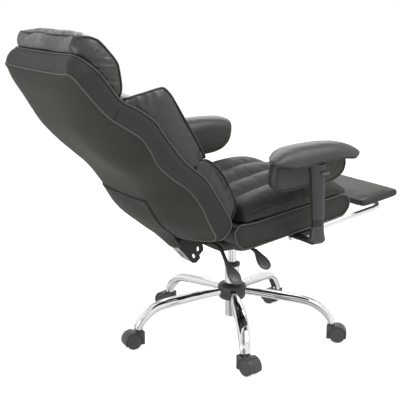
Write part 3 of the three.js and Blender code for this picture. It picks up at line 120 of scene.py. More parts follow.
# Materials
class Tree:
    """A node tree with short ways to add and join nodes.

    A value may be a number, a colour or another node's output.
    """

    def __init__(self, owner):
        owner.use_nodes = True
        self.nodes, self.links = owner.node_tree.nodes, owner.node_tree.links

    def join(self, socket, value):
        if isinstance(value, bpy.types.NodeSocket):
            self.links.new(value, socket)
        else:
            socket.default_value = value

    def add(self, kind, *by_place, **by_name):
        """Adds a node. by_name holds its settings and its inputs, with _ for the spaces in their names."""
        node = self.nodes.new("ShaderNode" + kind)
        for key, value in by_name.items():
            name = key.replace("_", " ")
            if name in node.inputs:
                self.join(node.inputs[name], value)
            else:
                setattr(node, key, value)
        for socket, value in zip(node.inputs, by_place):
            self.join(socket, value)
        return node

    def math(self, operation, *values):
        return self.add("Math", *values, operation=operation).outputs[0]

    def mix(self, share, first, second, blend="MIX"):
        node = self.add("Mix", data_type="RGBA", blend_type=blend)
        for socket, value in zip((node.inputs[0], node.inputs[6], node.inputs[7]), (share, first, second)):
            self.join(socket, value)
        return node.outputs[2]

    def noise(self, **inputs):
        return self.add("TexNoise", **inputs).outputs["Fac"]

    def span(self, value, low, high, start=0.0, end=1.0):
        """Maps start to end of a value onto low to high."""
        spans = dict(From_Min=start, From_Max=end, To_Min=low, To_Max=high)
        return self.add("MapRange", Value=value, **spans).outputs["Result"]

    def ramp(self, factor, dark, light, low=0.3, high=0.7):
        ramp = self.add("ValToRGB", Fac=factor)
        for element, position, colour in zip(ramp.color_ramp.elements, (low, high), (dark, light)):
            element.position = position
            element.color = (*colour, 1)
        return ramp.outputs["Color"]

    def bump(self, height, strength, depth, **more):
        return self.add("Bump", Height=height, Strength=strength, Distance=depth, **more).outputs["Normal"]


class Surface(Tree):
    """A material under construction, with its shader and the coordinates its patterns follow."""

    def __init__(self, name):
        self.material = bpy.data.materials.new(name)
        super().__init__(self.material)
        self.shader = self.nodes["Principled BSDF"]
        self.frame = self.add("TexCoord")
        self.place = self.frame.outputs["Object"]

    def finish(self, **inputs):
        for key, value in inputs.items():
            self.join(self.shader.inputs[key.replace("_", " ")], value)
        return self.material


def tinted(tint, tone):
    return tuple(tone * t for t in tint)


WHITE = (1.0, 1.0, 1.0)


def leather(name, tone, roughness, grain=1.0, tint=WHITE, shine=0.5):
    """Bonded leather: pebbled grain, fine pores, slow changes of colour and gloss, and darker valleys."""
    look = Surface(name)
    cloud = look.noise(Vector=look.place, Scale=9.0, Detail=5.0, Roughness=0.6)
    colour = look.ramp(cloud, tinted(tint, tone * 0.82), tinted(tint, tone * 1.18))
    cell = look.add("TexVoronoi", Vector=look.place, Scale=620.0, Randomness=0.9, feature="SMOOTH_F1")
    pebble = cell.outputs["Distance"]
    pores = look.noise(Vector=look.place, Scale=1500.0, Detail=3.0, Roughness=0.7)
    crease = look.noise(Vector=look.place, Scale=46.0, Detail=6.0, Roughness=0.55, Distortion=0.6)
    soft = look.bump(crease, 0.22, 0.0022)
    cells = look.bump(pebble, 0.35 * grain, 0.0005, invert=True, Normal=soft)
    return look.finish(
        Base_Color=look.mix(0.8, colour, look.span(pebble, 1.0, 0.72, 0.25, 0.75), "MULTIPLY"),
        Roughness=look.span(cloud, roughness - 0.06, roughness + 0.08),
        Normal=look.bump(pores, 0.2 * grain, 0.0002, Normal=cells),
        Specular_IOR_Level=shine)


def woven(name, tone, tint, pitch=0.0021):
    """A tight mesh cloth: crossing ribs with dark gaps between them, matt, with a slow change of tone."""
    look = Surface(name)
    ribs = [
        look.add("TexWave", Vector=look.place, Scale=0.314 / pitch, Distortion=0.4, Detail=1.0,
                 Detail_Scale=2.0, bands_direction=direction).outputs["Fac"]
        for direction in "XYZ"
    ]
    rib = look.math("MULTIPLY", look.math("ADD", look.math("ADD", ribs[0], ribs[1]), ribs[2]), 0.333)
    cloud = look.noise(Vector=look.place, Scale=11.0, Detail=4.0)
    colour = look.ramp(rib, tinted(tint, tone * 0.62), tinted(tint, tone * 1.3))
    return look.finish(
        Base_Color=look.mix(1.0, colour, look.ramp(cloud, tinted(WHITE, 0.84), WHITE), "MULTIPLY"),
        Roughness=look.span(cloud, 0.62, 0.78), Normal=look.bump(rib, 0.5, 0.0005),
        Sheen_Weight=0.12, Sheen_Roughness=0.4)


def plastic(name, tone, roughness=0.45, texture=1560.0, strength=0.12):
    """Moulded plastic: fine spark-eroded texture, slow cloud in tone and gloss."""
    look = Surface(name)
    cloud = look.noise(Vector=look.place, Scale=14.0, Detail=3.0)
    spark = look.noise(Vector=look.place, Scale=texture, Detail=2.0, Roughness=0.6)
    return look.finish(
        Base_Color=look.ramp(cloud, tinted(WHITE, tone * 0.88), tinted(WHITE, tone * 1.12)),
        Roughness=look.span(cloud, roughness - 0.05, roughness + 0.07),
        Normal=look.bump(spark, strength, 0.0003))


def metal(name, colour, roughness, painted_reflections=False):
    """Plated or uncoated metal: smudges in the gloss and a faint unevenness of the wall.

    When asked for, the base colour is darker in some directions of the surface: painted reflections of the
    dark cards of a studio.
    """
    look = Surface(name)
    smudge = look.noise(Vector=look.place, Scale=18.0, Detail=6.0, Roughness=0.65)
    tone = look.ramp(smudge, tinted(colour, 0.93), colour, 0.35, 0.65)
    if painted_reflections:
        # painted reflections: the colour darkens where the surface faces some directions
        facing = look.add("NewGeometry").outputs["Normal"]
        painted_reflection_pattern = look.noise(Vector=facing, Scale=2.6, Detail=1.0, Distortion=0.6)
        tone = look.mix(1.0, tone, look.ramp(painted_reflection_pattern, tinted(WHITE, 0.3), WHITE, 0.37, 0.44), "MULTIPLY")
    wave = look.noise(Vector=look.place, Scale=60.0, Detail=2.0)
    return look.finish(
        Base_Color=tone, Metallic=1.0, Roughness=look.span(smudge, roughness, roughness + 0.04, 0.35, 0.75),
        Normal=look.bump(wave, 0.15, 0.0002))


def channel_metal(name):
    """Black enamelled steel whose web, the side that faces away from the back cover, is painted pale grey
    with a mottle: a painted highlight for the light that falls on that side.
    """
    look = Surface(name)
    rearward = tuple((back(0, 0, -1) - back(0, 0, 0)).normalized())
    turned_to = look.add("VectorMath", look.frame.outputs["Normal"], rearward, operation="DOT_PRODUCT")
    mottle = look.add("TexVoronoi", Vector=look.place, Scale=90.0).outputs["Distance"]
    painted_highlight = look.ramp(mottle, (0.24, 0.24, 0.25), (0.42, 0.42, 0.43), 0.1, 0.8)
    enamel = (0.03, 0.03, 0.03, 1)
    # the painted highlight covers the faces turned away from the back cover
    share = look.span(turned_to.outputs["Value"], 0.0, 1.0, 0.55, 0.75)
    return look.finish(Base_Color=look.mix(share, enamel, painted_highlight), Metallic=0.6, Roughness=0.42)


WARM = (1.0, 1.0, 0.83)
# These are copies of one dark leather. Their tones and tints differ part by part, set lighter or darker for
# how light falls on each part: painted light. The arm pads are the lightest and the arm rests the darkest.
LEATHER = leather("leather_dark", 0.042, 0.29, tint=(1.0, 1.0, 0.9), shine=0.62)
LEATHER_PANEL = leather("leather_panel", 0.050, 0.6, tint=WARM, shine=0.16)
LEATHER_REST = leather("leather_rest", 0.034, 0.44, tint=WARM)
LEATHER_SEAT = leather("leather_seat", 0.042, 0.50, tint=(1.0, 1.0, 0.88), shine=0.28)
LEATHER_FOOT = leather("leather_footrest", 0.048, 0.50, tint=(1.0, 0.99, 0.9), shine=0.3)
LEATHER_PAD = leather("leather_pad", 0.058, 0.40, tint=(1.0, 1.0, 0.92))
PIPING = leather("leather_piping", 0.020, 0.36, grain=0.5)
PIPING_PALE = leather("leather_piping_pale", 0.085, 0.42, grain=0.5, tint=WARM)
SHADE = leather("seam_shade", 0.008, 0.7, grain=0.3)
FABRIC_SIDE = woven("fabric_side", 0.026, (1.0, 1.0, 0.84))
THREAD = plastic("thread_grey", 0.11, 0.6)
# The chrome carries painted reflections of dark studio cards in its colour.
CHROME = metal("chrome_plate", (0.86, 0.86, 0.87), 0.06, painted_reflections=True)
STEEL = metal("steel_zinc", (0.56, 0.57, 0.58), 0.3)
# The back bar: black enamel with a painted highlight on the side that faces away from the back cover.
BAR_PAINTED_HIGHLIGHT = channel_metal("enamel_with_painted_highlight")
PAINTED = plastic("black_enamel", 0.014, 0.32, 540.0, 0.2)
NYLON = plastic("moulded_nylon", 0.022, 0.42)
HUB_PLASTIC = plastic("hub_plastic", 0.042, 0.4)
CASTER_PLASTIC = plastic("caster_plastic", 0.062, 0.42)
GRIP_PLASTIC = plastic("grip_plastic", 0.11, 0.28)
RUBBER = plastic("rubber", 0.02, 0.55)
POST_PLASTIC = plastic("post_plastic", 0.014, 0.4)
FOOT_PLASTIC = plastic("foot_plastic", 0.06, 0.34)
KEY_PLASTIC = plastic("key_plastic", 0.11, 0.35)
ARM_PLASTIC = plastic("arm_plastic", 0.036, 0.38)

BY_SLOT = {
    "chrome": CHROME, "steel": STEEL, "black_steel": PAINTED, "nylon": NYLON,
    "arm_plastic": ARM_PLASTIC, "leather": LEATHER, "leather_side": FABRIC_SIDE,
}
for subpart in frame["record"]["subparts"]:
    node = frame["nodes"][subpart["node"]]
    node.data.materials.clear()
    node.data.materials.append(BAR_PAINTED_HIGHLIGHT if subpart["node"] == "back_bar" else BY_SLOT[subpart["material_slot"]])


# Room: a pale floor, a white background and soft light
LAMPS = (  # name, place, size in metres, watts
    ("lamp_key", (-1500, -900, 2600), 1.6, 28),
    ("lamp_fill", (1800, -1200, 1900), 1.8, 14),
    ("lamp_rear", (-300, 2600, 700), 1.2, 8),
)
LAMP_TARGET = (0, 0, 450)


def make_floor():
    half = 6.0
    mesh = bpy.data.meshes.new("floor")
    corners = [(ORIGIN.x + sx * half, ORIGIN.y + sy * half, ORIGIN.z)
               for sx, sy in ((-1, -1), (1, -1), (1, 1), (-1, 1))]
    mesh.from_pydata(corners, [], [(0, 1, 2, 3)])
    floor = bpy.data.objects.new("floor", mesh)
    scene.collection.objects.link(floor)
    look = Surface("floor_pale")
    pale = look.finish(Base_Color=(0.8, 0.8, 0.8, 1), Roughness=0.9)
    level = look.math("MULTIPLY_ADD", look.add("LightPath").outputs["Is Camera Ray"], 0.5, 0.28)
    glow = look.add("Emission", Color=(1, 1, 1, 1), Strength=level)
    both = look.add("AddShader", look.shader.outputs["BSDF"], glow.outputs["Emission"])
    look.join(look.nodes["Material Output"].inputs["Surface"], both.outputs["Shader"])
    mesh.materials.append(pale)


def make_light():
    """A background that is white where it is seen or mirrored and softer as a light, and three lamps."""
    scene.world = bpy.data.worlds.new("studio")
    sky = Tree(scene.world)
    sky.nodes.clear()
    seen, soft = (sky.add("Background", Color=(1, 1, 1, 1), Strength=level).outputs["Background"]
                  for level in (1.0, 0.55))
    path = sky.add("LightPath").outputs
    mirrored = sky.math("MAXIMUM", path["Is Camera Ray"], path["Is Glossy Ray"])
    share = sky.math("MAXIMUM", mirrored, path["Is Transmission Ray"])
    mixed = sky.add("MixShader", share, soft, seen)
    sky.add("OutputWorld", Surface=mixed.outputs["Shader"])
    for name, place, size, power in LAMPS:
        data = bpy.data.lights.new(name, "AREA")
        data.shape = "DISK"
        data.size = size
        data.energy = power
        lamp = bpy.data.objects.new(name, data)
        scene.collection.objects.link(lamp)
        lamp.location = chair(*place)
        lamp.rotation_euler = (chair(*LAMP_TARGET) - lamp.location).to_track_quat("-Z", "Y").to_euler()


make_floor()
make_light()


# Plane curves
class Curve:
    """A value that follows x smoothly through rows of (x, value) without overshooting."""

    def __init__(self, rows):
        self.x, self.y = np.array(sorted(rows), float).T
        rise = np.diff(self.y) / np.diff(self.x)
        self.slope = np.zeros(len(self.x))
        for i in range(1, len(self.x) - 1):
            a, b = rise[i - 1], rise[i]
            self.slope[i] = 0 if a * b <= 0 else 2 * a * b / (a + b)
        self.slope[0], self.slope[-1] = rise[0], rise[-1]

    def __call__(self, x):
        x = min(max(x, self.x[0]), self.x[-1])
        i = min(int(np.searchsorted(self.x, x, side="right")) - 1, len(self.x) - 2)
        width = self.x[i + 1] - self.x[i]
        t = (x - self.x[i]) / width
        return (
            (1 + 2 * t) * (1 - t) ** 2 * self.y[i]
            + t * (1 - t) ** 2 * width * self.slope[i]
            + t * t * (3 - 2 * t) * self.y[i + 1]
            + t * t * (t - 1) * width * self.slope[i + 1]
        )


def spline(rows, per=12):
    """Points of a smooth curve through rows."""
    rows = np.array(rows, float)
    out = []
    for i in range(len(rows) - 1):
        b, c = rows[i], rows[i + 1]
        a = rows[i - 1] if i else 2 * b - c
        d = rows[i + 2] if i + 2 < len(rows) else 2 * c - b
        for j in range(per):
            t = j / per
            bend, turn = 2 * a - 5 * b + 4 * c - d, 3 * b - a - 3 * c + d
            out.append(0.5 * (2 * b + (c - a) * t + bend * t * t + turn * t ** 3))
    out.append(rows[-1])
    return np.array(out)


def line_of(points):
    return np.array([tuple(p) for p in points], float)


def line_length(points):
    return np.linalg.norm(np.diff(points, axis=0), axis=1).sum()


def evenly(points, count, closed=False):
    """count points at even distances along a line of points."""
    points = np.array(points, float)
    if closed:
        points = np.vstack([points, points[:1]])
    walk = np.r_[0, np.cumsum(np.linalg.norm(np.diff(points, axis=0), axis=1))]
    marks = np.linspace(0, walk[-1], count + 1 if closed else count)
    if closed:
        marks = marks[:-1]
    return np.stack([np.interp(marks, walk, points[:, k]) for k in range(points.shape[1])], axis=1)


class Path:
    """A smooth curve through rows, read by its share of length."""

    def __init__(self, rows):
        self.points = evenly(spline(rows), 300)

    def __call__(self, share):
        place = min(max(share, 0), 1) * (len(self.points) - 1)
        i = min(int(place), len(self.points) - 2)
        t = place - i
        return self.points[i] * (1 - t) + self.points[i + 1] * t

    def normal(self, share, reach=0.02):
        """The direction to the left of travel."""
        along = self(share + reach) - self(share - reach)
        along /= np.linalg.norm(along)
        return np.array([-along[1], along[0]])


# Meshes
FACE = 0.999  # a share from which a point of a lattice lies on an outer face


def box_lattice(nu, nv, nw):
    """The surface of a box in steps: each point's shares (u, v, w) from -1 to 1, and outward faces."""
    index = {}

    def at(i, j, k):
        return index.setdefault((i, j, k), len(index))

    faces = []
    for i in range(nu):
        for j in range(nv):
            faces.append((at(i, j, nw), at(i + 1, j, nw), at(i + 1, j + 1, nw), at(i, j + 1, nw)))
            faces.append((at(i, j, 0), at(i, j + 1, 0), at(i + 1, j + 1, 0), at(i + 1, j, 0)))
    for j in range(nv):
        for k in range(nw):
            faces.append((at(nu, j, k), at(nu, j + 1, k), at(nu, j + 1, k + 1), at(nu, j, k + 1)))
            faces.append((at(0, j, k), at(0, j, k + 1), at(0, j + 1, k + 1), at(0, j + 1, k)))
    for i in range(nu):
        for k in range(nw):
            faces.append((at(i, nv, k), at(i, nv, k + 1), at(i + 1, nv, k + 1), at(i + 1, nv, k)))
            faces.append((at(i, 0, k), at(i + 1, 0, k), at(i + 1, 0, k + 1), at(i, 0, k + 1)))
    shares = np.array([(2 * i / nu - 1, 2 * j / nv - 1, 2 * k / nw - 1) for i, j, k in index], float)
    return shares, faces


def new_piece(name, points, faces, material, slot_name, shares=None):
    mesh = bpy.data.meshes.new(name)
    mesh.from_pydata([tuple(p) for p in points], [], faces)
    if shares is not None:
        mesh.attributes.new("share", "FLOAT_VECTOR", "POINT").data.foreach_set("vector", shares.ravel())
    work = bmesh.new()
    work.from_mesh(mesh)
    bmesh.ops.recalc_face_normals(work, faces=work.faces)
    work.to_mesh(mesh)
    work.free()
    mesh.validate()
    mesh.polygons.foreach_set("use_smooth", [True] * len(mesh.polygons))
    mesh.update()
    piece = bpy.data.objects.new(name, mesh)
    scene.collection.objects.link(piece)
    mesh.materials.append(material)
    return piece


def vectors(items, name):
    out = np.zeros(len(items) * 3)
    items.foreach_get(name, out)
    return out.reshape(-1, 3)


def coordinates(piece):
    return vectors(piece.data.vertices, "co")


def shares_of(piece):
    return vectors(piece.data.attributes["share"].data, "vector")


def set_coordinates(piece, co):
    piece.data.vertices.foreach_set("co", co.astype(np.float32).ravel())
    piece.data.update()


def push_out(piece, amounts):
    """Moves each point along its normal, by amounts in metres."""
    set_coordinates(piece, coordinates(piece) + vectors(piece.data.vertices, "normal") * amounts[:, None])


def tube_faces(rings, count, closed=False):
    """The faces of a form through rings of count points, with flat ends unless it is closed into a loop."""
    faces = []
    for i in range(rings if closed else rings - 1):
        here, there = i * count, (i + 1) % rings * count
        for j in range(count):
            k = (j + 1) % count
            faces.append((here + j, here + k, there + k, there + j))
    if not closed:
        faces += [tuple(range(count))[::-1], tuple((rings - 1) * count + j for j in range(count))]
    return faces


def ring_form(name, rings, material, slot_name, crease=None, hollow=False):
    """A form through rings of points, with flat ends or, if hollow, with its last ring joined to its first.

    crease is the angle in degrees from which an edge stays sharp.
    """
    points = [p for ring in rings for p in ring]
    piece = new_piece(name, points, tube_faces(len(rings), len(rings[0]), hollow), material, slot_name)
    if crease:
        piece.data.set_sharp_from_angle(angle=math.radians(crease))
    return piece


def oval(a, b, power, count):
    out = []
    for i in range(count):
        c, s = math.cos(2 * math.pi * i / count), math.sin(2 * math.pi * i / count)
        out.append((a * math.copysign(abs(c) ** (2 / power), c), b * math.copysign(abs(s) ** (2 / power), s)))
    return out


def lathe(name, rows, place, material, slot_name, sides=56, crease=35, hollow=False):
    """A turned form: rows of (radius, height) about the axis of place. hollow leaves its bore open."""
    turn = [2 * math.pi * i / sides for i in range(sides)]
    rings = [[place(r * math.cos(a), r * math.sin(a), h) for a in turn] for r, h in rows]
    return ring_form(name, rings, material, slot_name, crease, hollow)


def plate(name, outline, half, place, material, slot_name, edge):
    """An outline given thickness, its edges rounded over."""
    outline = np.array(outline, float)
    along = np.roll(outline, -1, axis=0) - np.roll(outline, 1, axis=0)
    along /= np.linalg.norm(along, axis=1, keepdims=True)
    inward = np.stack([-along[:, 1], along[:, 0]], axis=1)
    area = sum(a[0] * b[1] - a[1] * b[0] for a, b in zip(outline, np.roll(outline, -1, axis=0)))
    inward *= math.copysign(1, area)
    rim = ((half, edge), (half - edge * 0.3, edge * 0.3), (half - edge, 0))
    steps = [(-height, inset) for height, inset in rim] + list(rim[::-1])
    rings = [[place(*(spot + step * inset), height) for spot, step in zip(outline, inward)]
             for height, inset in steps]
    return ring_form(name, rings, material, slot_name, 40)


def sweep(name, points, radius, material, slot_name, sides=8, closed=False, spacing=None):
    """A round cord, tube or rod along a line of points. radius and spacing are in mm."""
    points = line_of(points)
    if spacing:
        points = evenly(points, max(4, int(line_length(points) / (spacing * MM))), closed)
    count = len(points)
    if closed:
        along = np.roll(points, -1, axis=0) - np.roll(points, 1, axis=0)
    else:
        along = np.gradient(points, axis=0)
    along /= np.maximum(np.linalg.norm(along, axis=1, keepdims=True), 1e-12)
    side = np.cross(along[0], (0, 0, 1))
    if np.linalg.norm(side) < 0.2:
        side = np.cross(along[0], (1, 0, 0))
    side /= np.linalg.norm(side)
    sides_at = [side]
    for i in range(1, count):
        side = side - along[i] * (side @ along[i])
        side /= max(np.linalg.norm(side), 1e-12)
        sides_at.append(side)
    twist = 0
    if closed:  # the turn that brings the last ring round to the first
        last = side - along[0] * (side @ along[0])
        last /= max(np.linalg.norm(last), 1e-12)
        twist = math.atan2(np.cross(last, sides_at[0]) @ along[0], last @ sides_at[0])
    vertices = []
    for i, a in enumerate(sides_at):
        b = np.cross(along[i], a)
        for j in range(sides):
            angle = 2 * math.pi * j / sides + twist * i / count
            vertices.append(points[i] + radius * MM * (a * math.cos(angle) + b * math.sin(angle)))
    return new_piece(name, vertices, tube_faces(count, sides, closed), material, slot_name)


def stitches(name, points, length, radius, pitch=5.0):
    """A row of thread stitches along a line of points."""
    points = line_of(points)
    marks = evenly(points, max(2, int(line_length(points) / (pitch * MM))))
    vertices, faces = [], []
    for a, b in zip(marks, marks[1:]):
        step = (b - a) / np.linalg.norm(b - a)
        side = np.cross(step, (0.3, 0.5, 0.8))
        side /= np.linalg.norm(side)
        other = np.cross(step, side)
        base = len(vertices)
        for t, r in ((0, 0.35), (0.2, 1), (0.8, 1), (1, 0.35)):
            for j in range(6):
                angle = math.pi / 3 * j
                around = side * math.cos(angle) + other * math.sin(angle)
                vertices.append(a + step * (t * length * MM) + radius * MM * r * around)
        faces += [tuple(base + k for k in face) for face in tube_faces(4, 6)]
    return new_piece(name, vertices, faces, THREAD, "leather")


def subdivide(piece):
    modifier = piece.modifiers.new("smooth", "SUBSURF")
    modifier.levels = modifier.render_levels = 1
    modifier.boundary_smooth = "PRESERVE_CORNERS"
    graph = bpy.context.evaluated_depsgraph_get()
    mesh = bpy.data.meshes.new_from_object(piece.evaluated_get(graph), depsgraph=graph)
    old = piece.data
    piece.modifiers.remove(modifier)
    piece.data = mesh
    mesh.name = old.name
    bpy.data.meshes.remove(old)
    mesh.polygons.foreach_set("use_smooth", [True] * len(mesh.polygons))


# Cloth
def swell(piece, held, pressure=4.0, cap=0.010, shrink=-0.03, frames=20):
    """Blows a closed cover up with the cloth solver, its held points fixed and no point moved beyond cap."""
    start = coordinates(piece)
    group = piece.vertex_groups.new(name="held")
    group.add([int(i) for i in np.nonzero(held)[0]], 1.0, "REPLACE")
    cloth = piece.modifiers.new("swell", "CLOTH")
    settings = cloth.settings
    settings.quality = 5
    settings.mass = 0.25
    settings.tension_stiffness = settings.compression_stiffness = 15
    settings.shear_stiffness = 5
    settings.bending_stiffness = 0.4
    settings.air_damping = 2
    settings.use_pressure = True
    settings.uniform_pressure_force = pressure
    settings.shrink_min = shrink
    settings.effector_weights.gravity = 0
    settings.vertex_group_mass = "held"
    settings.pin_stiffness = 1
    cloth.collision_settings.use_collision = False
    cloth.point_cache.frame_start = 1
    cloth.point_cache.frame_end = frames
    for step in range(1, frames + 1):
        scene.frame_set(step)
    evaluated = piece.evaluated_get(bpy.context.evaluated_depsgraph_get())
    step = vectors(evaluated.data.vertices, "co") - start
    piece.modifiers.remove(cloth)
    piece.vertex_groups.remove(group)
    scene.frame_set(1)
    length = np.linalg.norm(step, axis=1, keepdims=True)
    step *= np.minimum(1, cap / np.maximum(length, 1e-9))
    step[~np.isfinite(step).all(axis=1)] = 0
    set_coordinates(piece, start + step)


def sewn(shares):
    """Which lattice points lie on a cover's seams or on its hidden rear face."""
    return ((np.abs(shares) > FACE).sum(axis=1) >= 2) | (shares[:, 2] < -FACE)


def fold(piece, lines, place_at):
    """Presses creases into a piece along lines of (start, end, depth, width), each end mapped by place_at."""
    co = coordinates(piece)
    push = np.zeros(len(co))
    for start, end, depth, width in lines:
        a, b = np.array(place_at(*start)), np.array(place_at(*end))
        span = b - a
        t = np.clip(((co - a) @ span) / (span @ span), 0, 1)
        distance = np.linalg.norm(co - (a + t[:, None] * span), axis=1) / (width * MM)
        taper = np.sqrt(np.clip(4 * t * (1 - t), 0, 1)) * 0.85 + 0.15
        valley = np.exp(-distance ** 2)
        banks = np.exp(-((distance - 1.9) ** 2) * 1.6) * 0.35
        push += depth * MM * taper * (banks - valley)
    push_out(piece, push)


def ruffle(piece, amount, size, seed=0.0, mask=None):
    """Slow unevenness of stuffed fabric."""
    shift = Vector((seed, seed, seed))
    push = np.array([noise.noise(Vector(p) / (size * MM) + shift) for p in coordinates(piece)])
    if mask is not None:
        push *= np.array([mask(*s) for s in shares_of(piece)])
    push_out(piece, push * amount * MM)


def gathers(piece, amount, length_u, length_v, band, wave=22.0, reach=26.0, seed=0.0):
    """Small puckers that run off the seams of a bag and die out on its front face.

    Others cross the band round it, band times as strong. Lengths are the face's sizes in mm.
    """
    push = []
    for u, v, w in shares_of(piece):
        along_v, along_u = v * length_v / 2, u * length_u / 2
        if w > FACE:
            from_side = (1 - abs(u)) * length_u / 2
            from_end = (1 - abs(v)) * length_v / 2
            by_side = noise.noise(Vector((along_v / wave, u * 1.7 + seed, w + seed)))
            by_end = noise.noise(Vector((along_u / wave, v * 1.7 - seed, w - seed)))
            value = math.exp(-from_side / reach) * by_side + math.exp(-from_end / reach) * by_end
            value *= min(1, from_side / 5) * min(1, from_end / 5)
        elif w < -FACE:
            value = 0
        else:
            on_side = abs(u) > FACE
            along, across = (along_v, u) if on_side else (along_u, v)
            value = noise.noise(Vector((along / wave, seed + across * 3, seed)))
            value *= band * min(1, 3 * (1 - abs(w)))
            if on_side:
                value *= 0.35 + 0.65 * abs(w)
        push.append(value)
    push_out(piece, np.array(push) * amount * MM)


def surface_line(piece, guide, lift=0.15, reach=0.03):
    """Drops a line of points onto a piece's surface."""
    evaluated = piece.evaluated_get(bpy.context.evaluated_depsgraph_get())
    out = []
    for p in guide:
        found, spot, normal, _ = evaluated.closest_point_on_mesh(Vector(p), distance=reach)
        out.append(tuple(spot + normal * lift * MM) if found else tuple(p))
    return np.array(out)


def stand_for(piece, node, body):
    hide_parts(node)
    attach(piece, body)


def pad_for(piece, node, body):
    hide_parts(node)
    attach(piece, body)


def crown(height, across, along):
    return lambda u, a: height * (1 - abs(u) ** across) * (1 - abs(2 * a - 1) ** along)


class Bag:
    """A sewn form: two side panels with a closed outline, and a cover that runs round between them.

    place_at maps (x, a, b) to a point, where (a, b) is the plane of the side panels. front and rear are paths
    in that plane from the bottom to the top, and top and bottom join their ends. half is half the width.
    Crowns swell the faces, crest stuffs the rear face out to a path, dip lowers the top's middle, waves(u, v)
    moves points in the plane, and corners holds the radii of the rear's, front's and bottom's corners.
    """

    def __init__(self, name, place_at, front, rear, half, counts, material, slot_name, top=None, bottom=None,
                 front_crown=None, rear_crown=None, end_crown=None, side_bulge=0.0, crest=None, corners=None,
                 dip=0.0, waves=None):
        self.place_at, self.half, self.corners, self.dip, self.waves = place_at, half, corners, dip, waves
        self.crest = Path(crest) if crest else None
        self.front, self.rear = Path(front), Path(rear)
        self.length = float(np.linalg.norm(self.rear(1) - self.rear(0)))
        self.top = Path(top or [rear[-1], front[-1]])
        self.bottom = Path(bottom or [rear[0], front[0]])
        self.front_crown, self.rear_crown, self.end_crown = front_crown, rear_crown, end_crown
        self.side_bulge = side_bulge
        self.shares, faces = box_lattice(*counts)
        points = [self.point(*s) for s in self.shares]
        self.piece = new_piece(name, points, faces, material, slot_name, self.shares)

    def cover_sides(self, material):
        """Gives the band round the front and rear faces a material of its own."""
        mesh = self.piece.data
        mesh.materials.append(material)
        outer = np.abs(np.abs(self.shares) - 1) < 1e-6
        for face in mesh.polygons:
            if outer[list(face.vertices), :2].all(axis=0).any():
                face.material_index = 1

    def panel(self, v, w):
        a, b = (v + 1) / 2, (w + 1) / 2
        corners = (
            (1 - a) * (1 - b) * self.rear(0) + a * (1 - b) * self.rear(1)
            + (1 - a) * b * self.front(0) + a * b * self.front(1)
        )
        faces = (1 - b) * self.rear(a) + b * self.front(a)
        return faces + (1 - a) * self.bottom(b) + a * self.top(b) - corners

    def rounded(self, u, v, w, width, length):
        """Moves the corners of a face in to a round, when the bag has corner radii."""
        if not self.corners:
            return u, v
        b = (w + 1) / 2
        rear, front, low = self.corners
        radius = low if v < 0 else rear + (front - rear) * b
        if radius <= 0:
            return u, v
        x, y = abs(u) * width, abs(v) * length / 2
        dx, dy = (x - width + radius) / radius, (y - length / 2 + radius) / radius
        if dx <= 0 or dy <= 0:
            return u, v
        x = width - radius + radius * dx * math.sqrt(1 - dy * dy / 2)
        y = length / 2 - radius + radius * dy * math.sqrt(1 - dx * dx / 2)
        return math.copysign(x / width, u), math.copysign(y / length * 2, v)

    def point(self, u, v, w):
        a, b = (v + 1) / 2, (w + 1) / 2
        width = self.half(a, b)
        to_u, to_v = self.rounded(u, v, w, width, self.length)
        spot = self.panel(to_v, w)
        x = width * to_u
        if self.crest:
            power = 2.2 + 2.8 * min(a * 5, 1)
            spot = spot + (1 - b) * (1 - abs(u) ** power) * (self.crest(a) - self.rear(a))
        if self.dip and v > 0:
            spot = spot - np.array([self.dip * (1 - abs(u) ** 4) * v ** 8, 0])
        if self.waves:
            spot = spot + np.array(self.waves(u, v)) * b
        if abs(u) > FACE:
            x += math.copysign(self.side_bulge * (1 - v * v) * (1 - w * w), u)
        else:
            if w > FACE and self.front_crown:
                spot = spot + self.front.normal(a) * self.front_crown(u, a)
            if w < -FACE and self.rear_crown:
                spot = spot - self.rear.normal(a) * self.rear_crown(u, a)
            if abs(v) > FACE and self.end_crown:
                side = self.top.normal(b) if v > 0 else -self.bottom.normal(b)
                spot = spot - side * self.end_crown(u, b)
        return self.place_at(x, spot[0], spot[1])

    def loop(self, w):
        """A line round the edge of the front (w = 1) or rear (w = -1) face."""
        steps = 120
        climb = [2 * i / steps - 1 for i in range(steps)]
        fall = [1 - 2 * i / steps for i in range(steps)]
        ring = [(-1, t) for t in climb] + [(t, 1) for t in climb]
        ring += [(1, t) for t in fall] + [(t, -1) for t in fall]
        return line_of(self.point(u, v, w) for u, v in ring)

    def rim(self, side):
        """A line round the edge of a side panel."""
        steps, ends = 200, 40
        line = [self.point(side, 2 * i / steps - 1, 1) for i in range(steps)]
        line += [self.point(side, 1, 1 - 2 * i / ends) for i in range(ends)]
        line += [self.point(side, 1 - 2 * i / steps, -1) for i in range(steps)]
        line += [self.point(side, -1, 2 * i / ends - 1) for i in range(ends)]
        return line_of(line)


